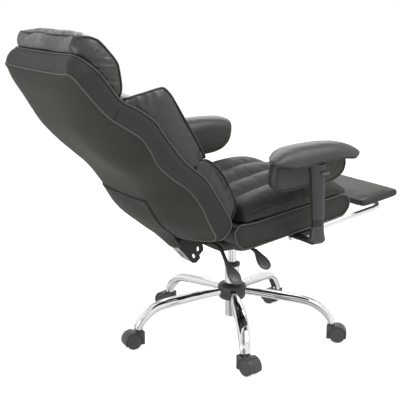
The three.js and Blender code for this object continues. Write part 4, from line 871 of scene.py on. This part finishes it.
# Back
def make_back():
    rear = [(57, -38), (66, -32), (81, -27), (121, -18), (168, -5), (220, 0), (260, -6), (293, -13),
            (348, -18), (402, -6), (443, -4), (493, -17), (538, -29), (578, -32), (651, -31), (697, -29)]
    front = [(50, -33), (44, -15), (47, 12), (58, 29), (98, 39), (153, 49), (204, 56), (237, 54), (265, 49),
             (299, 45), (361, 47), (413, 52), (440, 55), (494, 44), (551, 24), (601, 26), (641, 28),
             (685, 23), (718, 19)]
    crest = [(58, -76), (100, -88), (140, -99), (180, -102), (239, -92), (295, -83), (343, -81), (398, -88),
             (452, -94), (497, -96), (530, -94), (567, -85), (608, -75), (650, -67), (677, -58), (693, -42),
             (697, -31)]
    bag = Bag("back_cover", back, front, rear, lambda a, b: 250 - 2 * math.sin(math.pi * a), (56, 96, 10),
              LEATHER_PANEL, "leather", top=[(697, -29), (707, -21), (715, -10), (720, 5), (718, 19)],
              bottom=[(57, -38), (52, -37), (50, -33)], front_crown=crown(2.0, 4, 6), side_bulge=2.0,
              crest=crest, corners=(30, 62, 16), dip=11)
    bag.cover_sides(FABRIC_SIDE)
    piece = bag.piece
    subdivide(piece)
    ruffle(piece, 1.6, 130, 3.0, mask=lambda u, v, w: 1 if w < -0.99 else 0.3)
    ruffle(piece, 0.7, 45, 9.0, mask=lambda u, v, w: 0.4 + 0.6 * abs(u) ** 6 if w < -0.99 else 0.4)
    pad_for(piece, "back_body", "back")
    for name, w in (("front", 1), ("rear", -1)):
        pipe(bag, "back_piping_" + name, back(0, 380, 0), w, 2.4, PIPING_PALE, 6.0)
    for name, side in SIDES:
        seam = [back(side * 250.6, 541 - 1.5 * i, 6 - 3.2 * i) for i in range(9)]
        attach(sweep("back_side_seam_" + name, seam, 0.9, PIPING, "leather_side", 6), "back")
    return piece


def pipe(bag, name, middle, w=1, radius=2.7, material=PIPING, spacing=5.0, spots=(), pull=None):
    """Piping round the front (w = 1) or rear (w = -1) face of a bag on the back, a little proud of its edge.

    pull draws it in at the spots.
    """
    line = bag.loop(w)
    for spot in spots:
        near = np.exp(-(np.linalg.norm(line - np.array(spot), axis=1) / 0.013) ** 2)
        line += near[:, None] * np.array(pull)
    out = line - np.array(middle)
    line += out / np.linalg.norm(out, axis=1, keepdims=True) * 0.8 * MM
    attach(sweep(name, line, radius, material, "leather", 8, True, spacing), "back")


# Pillows
PILLOW_SIDE = 228  # middle of the back to the outer side of a pillow


def finish_pillow(bag, node, seed, sizes, gather=1.3, cap=0.009, shrink=-0.012, band=0.3):
    """Swells, gathers and seats a pillow. band is the share of its gathers that runs on across its sides."""
    piece = bag.piece
    swell(piece, sewn(bag.shares), 4.0, cap, shrink)
    subdivide(piece)
    gathers(piece, gather, *sizes, band, seed=seed)
    ruffle(piece, 1.8, 70, seed, mask=lambda u, v, w: 0 if w < -0.99 else 1)
    pad_for(piece, node, "back")


def fold_both_sides(piece, rows):
    """Presses creases given for the left side into both sides of a pillow."""
    fold(piece, [((side * a[0], *a[1:]), (side * b[0], *b[1:]), depth, width)
                 for side in (-1, 1) for a, b, depth, width in rows], back)


def end_swell(height):
    return lambda u, b: height * (1 - u * u) * math.sin(math.pi * b)


def make_headrest():
    front = [(547, 33), (558, 50), (570, 62), (597, 81), (618, 91), (656, 93), (690, 91), (706, 84),
             (718, 76), (729, 67), (739, 60)]
    rear = [(549, 29), (601, 30), (641, 31), (685, 27), (716, 22)]

    def waves(u, v):
        near = max(v, 0) ** 10 * (1 - u ** 4) * 3
        return (near * math.sin(5.2 * u + 1.5), near * math.sin(6.5 * u - 0.6))

    def front_crown(u, a):
        rise = min(1, (1 - a) * 15) ** 0.6 * min(1, a * 5) ** 0.8
        return 13 * (1 - abs(u) ** 5) * rise

    bag = Bag("headrest_cover", back, front, rear, lambda a, b: 222 - 5 * math.sin(math.pi * a) - 2 * b,
              (54, 44, 10), LEATHER, "leather", top=[(716, 22), (731, 36), (739, 60)],
              front_crown=front_crown, end_crown=end_swell(5), side_bulge=9, corners=(45, 26, 12), dip=4,
              waves=waves)
    finish_pillow(bag, "headrest_pillow", 2.3, (440, 330), 1.2, 0.007, -0.004, 0.15)
    x = PILLOW_SIDE
    fold_both_sides(bag.piece, [
        ((x, 676, 86), (x, 676, 36), 2.2, 3.6), ((x, 620, 80), (x, 666, 42), 3.4, 6),
        ((x, 604, 76), (x, 645, 40), 3.0, 5.5), ((x, 574, 64), (x, 604, 38), 2.8, 5.5),
        ((x, 596, 66), (x, 628, 40), 2.4, 5), ((x, 640, 90), (x, 656, 66), 1.8, 6),
        ((206, 738, 70), (206, 726, 40), 4, 7), ((150, 730, 84), (205, 738, 62), 2.6, 8),
        ((90, 726, 90), (110, 738, 66), 2.2, 8), ((20, 724, 92), (30, 738, 66), 2.4, 9),
    ])
    corners = [back(side * 206, 736, 62) for side in (-1, 1)]
    pipe(bag, "headrest_piping", back(0, 640, 50), spots=corners, pull=back(0, -5, -4) - back(0, 0, 0))


def make_shoulder():
    front = [(241, 104), (262, 110), (318, 122), (371, 132), (418, 141), (450, 145), (474, 142), (484, 130),
             (494, 113), (508, 88), (519, 70), (530, 48), (536, 40)]
    rear = [(246, 57), (265, 54), (304, 47), (361, 49), (413, 57), (449, 58), (510, 43), (532, 37)]

    def sag(u, v):
        t = min(max((v + 0.1) / 0.6, 0), 1)
        hang = (1 - abs(u) ** 1.4) * t * t * (3 - 2 * t)
        return (-70 * hang, -46 * hang)

    bag = Bag("shoulder_cover", back, front, rear, lambda a, b: 224 - 4 * math.sin(math.pi * a) - 3 * b,
              (54, 44, 12), LEATHER, "leather", bottom=[(246, 57), (240, 80), (241, 104)],
              front_crown=crown(12, 2.4, 3.0), end_crown=end_swell(4), side_bulge=7, corners=(0, 16, 10),
              waves=sag)
    finish_pillow(bag, "shoulder_pillow", 5.1, (446, 330))
    x = PILLOW_SIDE
    fold_both_sides(bag.piece, [
        ((x, 505, 96), (x, 478, 66), 2.4, 6), ((x, 497, 108), (x, 458, 82), 2.0, 7),
        ((x, 520, 66), (x, 500, 48), 1.8, 5),
    ])
    pipe(bag, "shoulder_piping", back(0, 400, 90))


def make_lumbar():
    front = [(46, 38), (52, 58), (62, 76), (79, 89), (105, 98), (131, 105), (160, 111), (189, 112),
             (215, 109), (236, 102), (250, 88)]
    rear = [(50, 33), (75, 38), (98, 42), (153, 52), (204, 59), (242, 59)]
    bag = Bag("lumbar_cover", back, front, rear, lambda a, b: 226 - 3 * math.sin(math.pi * a) - 3 * b,
              (54, 28, 9), LEATHER, "leather", top=[(242, 59), (250, 72), (250, 88)],
              front_crown=crown(11, 2.4, 2.5), side_bulge=8)
    finish_pillow(bag, "lumbar_pillow", 7.7, (450, 220), cap=0.008)
    pipe(bag, "lumbar_piping", back(0, 150, 80))


# Seat
def make_seat_block():
    top = [(-262, 56), (-240, 64), (-176, 65), (-121, 66), (-46, 68), (28, 68), (68, 68), (100, 71),
           (122, 74), (134, 71)]
    under = [(-252, 7), (-236, -1), (-180, -3), (-55, -3), (55, -2), (108, -1), (128, 3)]
    tuck = Curve([(0, 0), (0.08, 2), (0.9, 3.5), (0.96, 8), (1, 0)])
    bag = Bag("seat_block_cover", seat, top, under, lambda a, b: 249.5, (44, 48, 8), FABRIC_SIDE,
              "leather_side", top=[(128, 3), (143, 22), (147, 48), (145, 62), (134, 71)],
              bottom=[(-252, 7), (-265, 20), (-269, 40), (-262, 56)],
              front_crown=lambda u, a: -tuck(a) * min(1, (1 - abs(u)) * 26),
              rear_crown=lambda u, a: -3.6 * min(1, (1 - abs(u)) * 18) * min(1, (1 - abs(2 * a - 1)) * 12),
              side_bulge=2.5)
    subdivide(bag.piece)
    ruffle(bag.piece, 1.2, 90, 4.0, mask=lambda u, v, w: 1 if abs(u) > 0.99 else 0.2)
    pad_for(bag.piece, "seat_block", "seat")
    for name, side in SIDES:
        line = bag.rim(side)
        line[:, 0] += side * 0.8 * MM
        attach(sweep("seat_block_piping_" + name, line, 2.5, PIPING_PALE, "leather", 8, True, 6.0), "seat")


CUSHION_HALF = 245
CUSHION_MIDDLE, CUSHION_REACH = -77, 185  # along the seat
CUSHION_FOOT = 66.2  # over the board
LANE = 123  # width of a stuffed channel
LANES = 4
CUSHION_CREST = Curve([(-262, 76), (-256, 92), (-246, 102), (-230, 112), (-200, 124), (-160, 132),
                       (-100, 136), (-40, 134), (0, 132), (41, 129), (75, 123), (95, 112), (104, 98),
                       (108, 80)])
CUSHION_EDGE = Curve([(-262, 74), (-243, 84), (-197, 103), (-150, 100), (-104, 100), (-58, 105), (-12, 106),
                      (43, 99), (71, 93), (103, 85), (108, 78)])
CUSHION_VALLEY = Curve([(-262, 73), (-250, 86), (-220, 98), (-160, 108), (-80, 111), (0, 109), (60, 104),
                        (95, 94), (108, 76)])


def cushion_height(x, y):
    """Top of the seat cushion over its board, with stuffed channels that run from the rear to the front."""
    crest, edge, valley = CUSHION_CREST(y), CUSHION_EDGE(y), CUSHION_VALLEY(y)
    place = (x + LANE * LANES / 2) / LANE
    lane = min(max(int(place), 0), LANES - 1)
    t = place - lane
    left = edge if lane == 0 else valley
    right = edge if lane == LANES - 1 else valley
    floor = left * (1 - t) + right * t
    hump = (1 - abs(2 * t - 1) ** 2.3) ** 0.62 if 0 < t < 1 else 0
    return floor + (crest - floor) * hump


def beside(piece, guide, side):
    """Points where lines across the chair, from outside, first meet a piece."""
    line = []
    for spot in guide:
        found, hit, *_ = piece.ray_cast(spot, Vector((-side, 0, 0)), distance=0.06)
        if found:
            line.append(hit + Vector((side * 0.3 * MM, 0, 0)))
    return line


def make_seat_cushion():
    nu = 72
    shares, faces = box_lattice(nu, 52, 4)
    side_low = Curve([(-262, 66), (-191, 66), (-119, 67), (-4, 70), (41, 72), (71, 78), (104, 74), (108, 72)])
    points = []
    for u, v, w in shares:
        x = CUSHION_HALF * u
        corner = (1 - abs(u)) * CUSHION_HALF
        y = CUSHION_MIDDLE + (CUSHION_REACH - 7 * max(0, 1 - corner / 40) ** 2) * v
        high = cushion_height(x * (LANE * LANES / 2) / CUSHION_HALF, y)
        low = side_low(y) if abs(u) > FACE else CUSHION_FOOT
        b = (w + 1) / 2
        if abs(u) > FACE:
            x += math.copysign(8 * math.sin(math.pi * b) ** 0.8 - 3 * (1 - b), u)
        if abs(v) > FACE:
            y += math.copysign(6 * math.sin(math.pi * b), v)
        points.append(seat(x, y, low + (high - low) * b))
    piece = new_piece("seat_cushion_cover", points, faces, LEATHER_SEAT, "leather", shares)
    on_seam = np.round((shares[:, 0] + 1) / 2 * nu) % (nu // LANES) == 0
    swell(piece, sewn(shares) | ((shares[:, 2] > FACE) & on_seam), 4.0, 0.007, -0.012)
    subdivide(piece)
    gathers(piece, 2.0, 490, 370, 1, wave=26, seed=1.3)
    ruffle(piece, 1.6, 80, 6.0, mask=lambda u, v, w: 1 if w > -0.9 else 0)
    pad_for(piece, "seat_cushion", "seat")
    upper = Curve([(121, 93), (85, 101), (50, 104), (14, 106), (-22, 107), (-76, 104), (-119, 101),
                   (-170, 98), (-220, 90)])
    for name, side in reversed(SIDES):
        for row, drop in (("upper", 2.0), ("lower", 12.0)):
            guide = [seat(side * 262, y, upper(y) - drop) for y in np.linspace(100, -215, 110)]
            thread = stitches(f"seat_cushion_stitches_{row}_{name}", beside(piece, guide, side), 3.6, 0.6)
            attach(thread, "seat")


# Arms
ARM_MIDDLE = 316  # chair's middle to the middle of an arm pad
POST_MIDDLE = 345
KEY_Y, KEY_HEIGHT = -72, 579
WRAP_INNER, WRAP_WIDTH = -51, 91  # across an arm, its cover's inner face and the way on to the seam


def make_arm_pad(body, side):
    """The pad. Its cover runs down the inner side of the arm as one panel."""
    seam = Curve([(122, 618), (110, 618), (88, 614), (60, 607), (37, 602), (8, 601), (-14, 605), (-61, 612),
                  (-120, 616), (-145, 615), (-175, 612), (-195, 619), (-212, 628)])
    crest = Curve([(100, 612), (97, 620), (91, 629), (80, 638), (63, 647), (35, 655), (-22, 661), (-92, 663),
                   (-141, 660), (-178, 651), (-197, 641), (-212, 629)])
    outer_y = Curve([(0, 104), (0.06, 98), (0.22, 58), (0.6, -115), (0.8, -166), (1, -212)])
    outer_half = Curve([(0, 34), (0.03, 44), (0.08, 50), (0.2, 52), (0.5, 53), (0.75, 50), (0.88, 45),
                        (0.96, 36), (1, 29)])
    inner_half = Curve([(0, 30), (0.04, 42), (0.1, 49), (0.2, 51), (0.5, 51), (0.85, 50), (0.95, 40), (1, 8)])
    hem = Path([(36, 622), (44, 608), (46, 588), (42, 567), (32, 549), (10, 540), (-25, 538), (-60, 538),
                (-100, 542), (-137, 555), (-158, 577), (-167, 605), (-168, 622), (-165, 634)])

    def spot(t, across, z):
        y_in, y_out = hem(t)[0], outer_y(t)
        lean = min(max((across - WRAP_INNER) / WRAP_WIDTH, 0), 1.1)
        bulge = 15 * (1 - (2 * lean - 1) ** 2) * max(0, 1 - t / 0.2) ** 1.5
        return chair(side * ARM_MIDDLE + side * across, y_in + (y_out - y_in) * lean + bulge, z)

    rings = []
    stations, over = 84, 14
    for i in range(stations + 1):
        t = i / stations
        y_in, bottom = hem(t)
        y_out = outer_y(t)
        out, far, low = outer_half(t), inner_half(t), seam(y_out)
        rise = max(crest(y_in + (y_out - y_in) * 0.82), low + 1.2) - low
        bottom = min(bottom, low - 0.5)
        skirt = min(1, (low - bottom) / 30)
        full = 2.0 + 0.7 * min(1, t * 5, (1 - t) * 5)
        shoulder = low + rise * 0.42
        ring = [(out, low), (out + 2.0, low + rise * 0.2), (out + 2.2, shoulder)]
        for j in range(1, over):
            u = 1 - 2 * j / over
            dome = 0.42 + 0.58 * (1 - abs(u) ** full) ** 0.55
            ring.append((out * u if u > 0 else far * u, low + rise * dome))
        ring.append((-far - 1.6, shoulder))
        for k in (0.2, 0.4, 0.6, 0.8):
            ring.append((-far - 0.6 + 2.5 * k * k, shoulder + (bottom + 9 * skirt - shoulder) * k))
        ring += [(-far + 3, bottom + 5 * skirt), (-far + 6, bottom + 1.4 * skirt), (-far + 10, bottom),
                 (-far + 12, bottom + 6 * skirt), (-far + 13, bottom + (low - bottom) * 0.6),
                 (-far + 16, low - 0.2)]
        ring += [(out * k, low - 0.2 * (1 - k)) for k in (-0.3, 0.1, 0.5, 0.8)]
        rings.append([spot(t, x, z) for x, z in ring])
    pad = ring_form(body + "_pad_cover", rings, LEATHER_PAD, "leather")
    subdivide(pad)
    ruffle(pad, 1.3, 60, 2.0 + side)
    ruffle(pad, 0.4, 22, 7.0 + side)
    pad_for(pad, body + "_pad", body)
    shares = np.linspace(0.01, 0.995, 90)
    line = [spot(t, outer_half(t) + 1.4, seam(outer_y(t)) + 1.2) for t in shares]
    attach(sweep(body + "_pad_seam", line, 1.5, PIPING, "leather", 8, False, 4.0), body)
    thread = [spot(t, outer_half(t) + 2.6, seam(outer_y(t)) + 5.4) for t in shares[5:-8]]
    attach(stitches(body + "_pad_stitches", surface_line(pad, thread), 3.2, 0.45), body)


def make_arm_rest(body, side):
    """The wrapped box under the pad, its rear end rounded and drawn in on the inner side."""
    over = Curve([(-155, 614), (-120, 616), (-61, 612), (-14, 605), (8, 601), (37, 602), (80, 612)])
    lower = Path([(77, 604), (80, 587), (82, 570), (79, 553), (69, 543), (52, 539), (-21, 545), (-83, 548),
                  (-116, 554), (-136, 564), (-152, 578), (-158, 600), (-155, 611)])
    inner, outer = 281, 346.4
    front, length = 77, 232
    shares, faces = box_lattice(12, 56, 8)
    points = []
    for u, v, w in shares:
        a, b = (v + 1) / 2, (w + 1) / 2
        foot = lower(a)
        y_top = front - length * a
        y = foot[0] * (1 - b) + y_top * b
        z = foot[1] * (1 - b) + (over(y_top) - 0.8) * b
        q = (1 - u) / 2
        rear = min(max((y - 15) / 65, 0), 1) ** 2
        y += rear * (56 * q * (1 - q) - 28 * q * q) - min(max((-y - 90) / 60, 0), 1) * 8 * q
        x = inner + (outer - inner) * (1 - q)
        if abs(u) > FACE:
            x -= math.copysign(1.6 * (1 - (1 - w * w) * (1 - v * v)), u)
        points.append(chair(side * x, y, z))
    rest = new_piece(body + "_rest_cover", points, faces, LEATHER_REST, "leather", shares)
    subdivide(rest)
    ruffle(rest, 1.0, 50, 5.0 + side)
    x = side * 346
    fold(rest, [((x, 60, 600), (x, 48, 572), 2.0, 7), ((x, 22, 598), (x, 14, 560), 1.4, 8),
                ((x, -100, 610), (x, -110, 566), 1.6, 8), ((x, -132, 606), (x, -118, 580), 1.6, 7)], chair)
    pad_for(rest, body + "_rest", body)
    line = [chair(side * (outer - 0.6), *lower(i / 60)) for i in range(61)]
    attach(sweep(body + "_rest_piping", line, 1.8, PIPING, "leather", 8, False, 5.0), body)


def make_arm_post(body, side):
    """Sleeve, post and key. Rows are (height, y, half length, half width)."""
    for label, rows, material, node, holder in (
        ("sleeve_cover", [(446, -64, 18.5, 13.0), (448, -64, 19.5, 14.0), (470, -63.4, 20.0, 14.2),
                          (520, -61, 22.0, 14.8), (565, -58, 24.5, 15.6), (590, -56.5, 26.0, 16.4),
                          (600, -56, 28.5, 18.5), (606, -56, 30.0, 20.0)], ARM_PLASTIC, "_sleeve", body),
        ("post_foot", [(380, -63, 23.5, 17.0), (381, -63, 25.5, 19.0), (386, -63, 25.6, 19.0),
                       (402, -63.6, 22.0, 16.0), (420, -64, 19.6, 14.2), (423, -64, 19.3, 13.9),
                       (424.5, -64, 18.2, 13.0)], FOOT_PLASTIC, "_post", "seat"),
        ("post_tube", [(400, -64, 17.6, 12.4), (520, -64, 17.0, 12.0)], POST_PLASTIC, "_post", "seat"),
    ):
        rings = [[chair(side * POST_MIDDLE + a, y + b, z) for a, b in oval(wide, long, 2.5, 40)]
                 for z, y, long, wide in rows]
        stand_for(ring_form(f"{body}_{label}", rings, material, "arm_plastic", 40), body + node, holder)
    rows = [(353, 3.0, 12), (354, 4.2, 13.4), (362, 4.4, 13.8), (366, 4.2, 13.4), (368.5, 3.0, 12)]
    rings = [[chair(side * x, KEY_Y + b, KEY_HEIGHT + a) for a, b in oval(high, long, 4, 24)]
             for x, high, long in rows]
    key = ring_form(body + "_key", rings, KEY_PLASTIC, "arm_plastic", 40)
    stand_for(key, body + "_button", body + "_key")


# Base, column and casters
LEG_ANGLES = (82, 10, -62, -134, 154)
CASTER_TURNS = (85, 24, 20, 229, 189)
TIP_RADIUS = 320
TRAIL, WHEEL_RADIUS = 20, 25  # stem to axle, and floor to axle
WHEEL_INNER = 7.5  # a caster's middle to the inner face of its wheels


def turned(x, y, angle):
    c, s = math.cos(math.radians(angle)), math.sin(math.radians(angle))
    return x * c - y * s, x * s + y * c


def make_base():
    path = Path([(24, 145), (105.6, 140.7), (166.4, 135.5), (224, 129.5), (259, 121), (285, 106), (304, 88),
                 (316, 71), (320, 55)])
    wide = Curve([(0, 12), (0.55, 20), (0.8, 18.5), (1, 15.5)])
    thick = Curve([(0, 11), (0.55, 13.5), (1, 12.5)])
    steps = 72
    for k, angle in enumerate(LEG_ANGLES):
        rings = []
        for i in range(steps + 1):
            t = i / steps
            r, z = path(t)
            normal = path.normal(t if 0.02 < t < 0.98 else min(max(t, 0.03), 0.97))
            ends = 1 - 0.06 * (i == steps)
            rings.append([chair(*turned(r + normal[0] * b, a, angle), z + normal[1] * b)
                          for a, b in oval(wide(t) * ends, thick(t) * ends, 2.5, 28)])
        stand_for(ring_form(f"base_leg_{k + 1}", rings, CHROME, "chrome"), "base_star", "base")
    for node, rows, material, slot_name in (
        ("hub_cover", [(18, 119), (36, 118.5), (39, 119.5), (42.5, 124), (45.5, 133), (47, 145), (46.6, 155),
                       (44, 162), (39, 167.5), (32, 170.5), (26, 171.6), (25, 172), (18, 172)],
         HUB_PLASTIC, "nylon"),
        ("stand_tube", [(19, 60), (22, 60.4), (22.4, 61.5), (22.6, 118), (24, 124), (24, 225), (23.4, 226),
                        (19, 226.2)], CHROME, "chrome"),
        ("guide_bush", [(15, 225), (23, 225.6), (24.8, 227), (25.4, 229), (25.4, 234.5), (24.6, 236.6),
                        (22, 237.8), (15.2, 238)], NYLON, "nylon"),
    ):
        stand_for(lathe(node + "_shell", rows, chair, material, slot_name, hollow=True), node, "base")
    rows = [(12, 130), (13.6, 130.4), (14, 132), (14, 337), (13, 338)]
    stand_for(lathe("gas_cylinder_shell", rows, chair, CHROME, "chrome"), "gas_cylinder", "seat")


def make_casters():
    def arc(radius, start, end, steps):
        turns = [math.radians(a) for a in np.linspace(start, end, steps)]
        return [(TRAIL + radius * math.cos(a), WHEEL_RADIUS + radius * math.sin(a)) for a in turns]

    edge = [(-11.4, 13), (-13.2, 13.8), (-14, 15.6), (-14, 34), (-14, 52.5), (-13.4, 55.4), (-11.6, 56.5),
            (-8.6, 56.4), (-4, 53.2)]
    shell = edge + arc(28.8, 128, -24, 34) + arc(26, -27.5, 207.5, 40)
    web = edge + arc(28.4, 128, -24, 34) + [(30, 13.2), (10, 13.2)]
    wheel = [(3.4, 0.4), (22.5, 0), (24.2, 0.7), (25, 2.2), (25, 7), (25, 12), (24.7, 13.1), (23.8, 14),
             (22, 14.5), (19.8, 14.4), (18.6, 13.5), (17, 13.1), (7, 12.9), (6.2, 13.4), (5.4, 14), (1, 14.3)]
    for k, (angle, turn) in enumerate(zip(LEG_ANGLES, CASTER_TURNS)):
        stem = turned(TIP_RADIUS, 0, angle)
        caster = f"caster_{k + 1}"

        def place(x, z, y):
            to_x, to_y = turned(x, y, turn)
            return chair(stem[0] + to_x, stem[1] + to_y, z)

        for label, outline, half, round_over in (("shell", shell, 22.2, 1.0), ("web", web, 7.2, 0.6)):
            form = plate(f"{caster}_{label}", outline, half, place, CASTER_PLASTIC, "nylon", round_over)
            stand_for(form, caster + "_hood", caster)
        for name, side in SIDES:
            def axle(a, b, h):
                return place(TRAIL + a, WHEEL_RADIUS + b, side * (WHEEL_INNER + h))

            roller = lathe(f"{caster}_roller_{name}", wheel, axle, CASTER_PLASTIC, "nylon", 48, 30)
            stand_for(roller, f"{caster}_wheel_{name}", f"{caster}_{name}")


# Levers
LEVER_ROOT = (-60, 336)
PADDLE_LENGTH, PADDLE_LAP = 72, 8  # beyond the rod's end, and over it


def make_lever(name, y, reach, rows, slope):
    """A rod in a rubber sleeve, through rows of its reach, with a flat drop-shaped paddle at its end."""
    line = [(LEVER_ROOT[0] - reach * a, LEVER_ROOT[1] + reach * b) for a, b in rows]
    bar = spline([chair(x, y, z) for x, z in line], 8)
    rod = sweep(name + "_bar", bar, 5.8, RUBBER, "black_steel", 18, False, 3.0)
    stand_for(rod, name + "_rod", name)
    x0, z0 = line[-1]
    c, s = math.cos(math.radians(slope)), math.sin(math.radians(slope))
    wide = Curve([(0, 6), (0.1, 7.2), (0.3, 12.6), (0.5, 18.6), (0.68, 21.4), (0.82, 20.2), (0.92, 15.4),
                  (0.97, 10), (1, 4)])
    thick = Curve([(0, 5.5), (0.15, 6.3), (0.5, 5.8), (0.85, 4.6), (0.95, 3.4), (1, 1.2)])
    rings = []
    for t in np.linspace(0, 1, 41):
        along = -PADDLE_LAP + (PADDLE_LENGTH + PADDLE_LAP) * t
        bow = 3.5 * math.sin(math.pi * t)
        rings.append([chair(x0 - along * c - (bow + b) * s, y + a, z0 - along * s + (bow + b) * c)
                      for a, b in oval(wide(t), thick(t), 2.4, 28)])
    stand_for(ring_form(name + "_grip", rings, GRIP_PLASTIC, "nylon"), name + "_paddle", name)


# Footrest
FOOTPAD_LOW, FOOTPAD_THICKNESS, FOOTPAD_CROWN = -34.7, 20, 6
FOOTPAD_HALF, FOOTPAD_MIDDLE, FOOTPAD_REACH = 171, -464, 76  # half its width, its place and half its length


def make_footrest_frame():
    half, rear, front, z, bend = 150, -105, -488, -59, 42
    corner = [(half - bend + bend * math.cos(a), front + bend - bend * math.sin(a))
              for a in np.linspace(0.12, math.pi / 2 - 0.12, 10)]
    line = [(half, rear), (half, -250), (half, front + bend), *corner, (half - bend, front), (0, front)]
    line += [(-x, y) for x, y in line[-2::-1]]
    line = [seat(x, y, z) for x, y in line]
    tube = sweep("footrest_frame_tube", line, 8.9, CHROME, "chrome", 28, False, 5.0)
    stand_for(tube, "footrest_frame", "footrest_rails")


def make_footpad():
    shares, faces = box_lattice(44, 22, 4)
    points = []
    for u, v, w in shares:
        x = FOOTPAD_HALF * u * (1 - 0.035 * abs(v) ** 8)
        y = FOOTPAD_MIDDLE + FOOTPAD_REACH * v * (1 - 0.05 * abs(u) ** 8)
        b = (w + 1) / 2
        z = FOOTPAD_LOW + FOOTPAD_THICKNESS * b
        if w > FACE:
            z += FOOTPAD_CROWN * (1 - abs(u) ** 4) * (1 - abs(v) ** 4)
        bulge = 3 * math.sin(math.pi * b)
        if abs(u) > FACE:
            x += math.copysign(bulge, u)
        if abs(v) > FACE:
            y += math.copysign(bulge, v)
        points.append(seat(x, y, z))
    piece = new_piece("footrest_pad_cover", points, faces, LEATHER_FOOT, "leather", shares)
    swell(piece, sewn(shares), 2.5, 0.004, -0.012)
    subdivide(piece)
    gathers(piece, 1.0, 344, 154, 0.6, reach=14, seed=8.3)
    pad_for(piece, "footrest_pad", "footrest_plate")


# Sleeve over the back bar
SLEEVE_FOOT, SLEEVE_LENGTH = 3, 248  # along the back


def make_bar_sleeve(panel):
    """A padded flap over the back bar, laid on the rear panel. Its edges stand a few millimetres off it."""
    width = Curve([(2, 46), (38, 54), (85, 86), (130, 116), (173, 135), (207, 138), (232, 139), (252, 139)])
    ridge = Curve([(2, -96), (42, -98), (71, -100), (100, -105), (126, -109), (150, -112), (180, -114),
                   (205, -112), (235, -104), (252, -97)])
    nu, nv = 36, 40
    depth = {}  # of the panel at each place of the lattice; under the panel's foot, that of its foot
    forward = (back(0, 0, 1) - back(0, 0, 0)).normalized()
    for i in range(nu + 1):
        u = 2 * i / nu - 1
        for j in range(nv + 1):
            s = SLEEVE_FOOT + SLEEVE_LENGTH * j / nv
            x = u * width(s)
            found, spot, *_ = panel.ray_cast(back(x, s, -260), forward)
            depth[i, j] = -(spot - back(x, s, 0)).length / MM if found and s >= 66 else None
        foot = next(depth[i, j] for j in range(nv + 1) if depth[i, j] is not None)
        for j in range(nv + 1):
            if depth[i, j] is None:
                depth[i, j] = max(foot, -80) if abs(u) < 0.7 else foot

    shares, faces = box_lattice(nu, nv, 3)
    points = []
    for u, v, w in shares:
        i, j = round((u + 1) / 2 * nu), round((v + 1) / 2 * nv)
        s = SLEEVE_FOOT + SLEEVE_LENGTH * j / nv
        x, base = u * width(s), depth[i, j]
        end = min(1, (1 - v) * 9)
        outer = min(base - 4.5, base + (ridge(s) - base) * (1 - abs(u) ** 2.2) * end ** 0.7)
        b = (1 - w) / 2
        if abs(u) > FACE:
            x += math.copysign(1.2 * math.sin(math.pi * b), u)
        points.append(back(x, s, base - 0.4 + (outer - base + 0.4) * b))
    piece = new_piece("bar_sleeve_cover", points, faces, LEATHER_PANEL, "leather", shares)
    subdivide(piece)
    ruffle(piece, 1.2, 60, 11.0, mask=lambda u, v, w: 1 if w < -0.9 and abs(u) < 0.9 else 0)
    pad_for(piece, "bar_sleeve", "back")

    # The seam round the flap's edge, in the near-black shade material: a seam with painted shadow in the gap
    # between flap and panel.
    climb = [6 + 245 * i / 79 for i in range(80)]
    edge = [(1, s) for s in climb] + [(1 - 2 * i / 60, 251) for i in range(61)]
    edge += [(-1, s) for s in reversed(climb)]
    groove = []
    for u, s in edge:
        i = round((u + 1) / 2 * nu)
        j = min(max(round((s - SLEEVE_FOOT) / SLEEVE_LENGTH * nv), 0), nv)
        groove.append(back(u * (width(s) + 1.4), s + (1.4 if s > 250 else 0), depth[i, j] - 0.6))
    groove = evenly(spline(evenly(groove, 90), 3), 220)
    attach(sweep("bar_sleeve_seam_shadow", groove, 1.5, SHADE, "leather", 6, False, 4.0), "back")


back_cover = make_back()
make_headrest()
make_shoulder()
make_lumbar()
make_seat_block()
make_seat_cushion()
for name, side in SIDES:
    make_arm_pad("arm_" + name, side)
    make_arm_rest("arm_" + name, side)
    make_arm_post("arm_" + name, side)
make_base()
make_casters()
make_lever("lift_lever", 40, 130, [(0, 0), (0.35, 0.0), (0.65, -0.01), (1, -0.09)], 33)
make_lever("recline_lever", 134, 119,
           [(0, 0), (0.3, 0.03), (0.5, 0.05), (0.68, 0), (0.84, -0.14), (1, -0.33)], 38)
make_footrest_frame()
make_footpad()
make_bar_sleeve(back_cover)
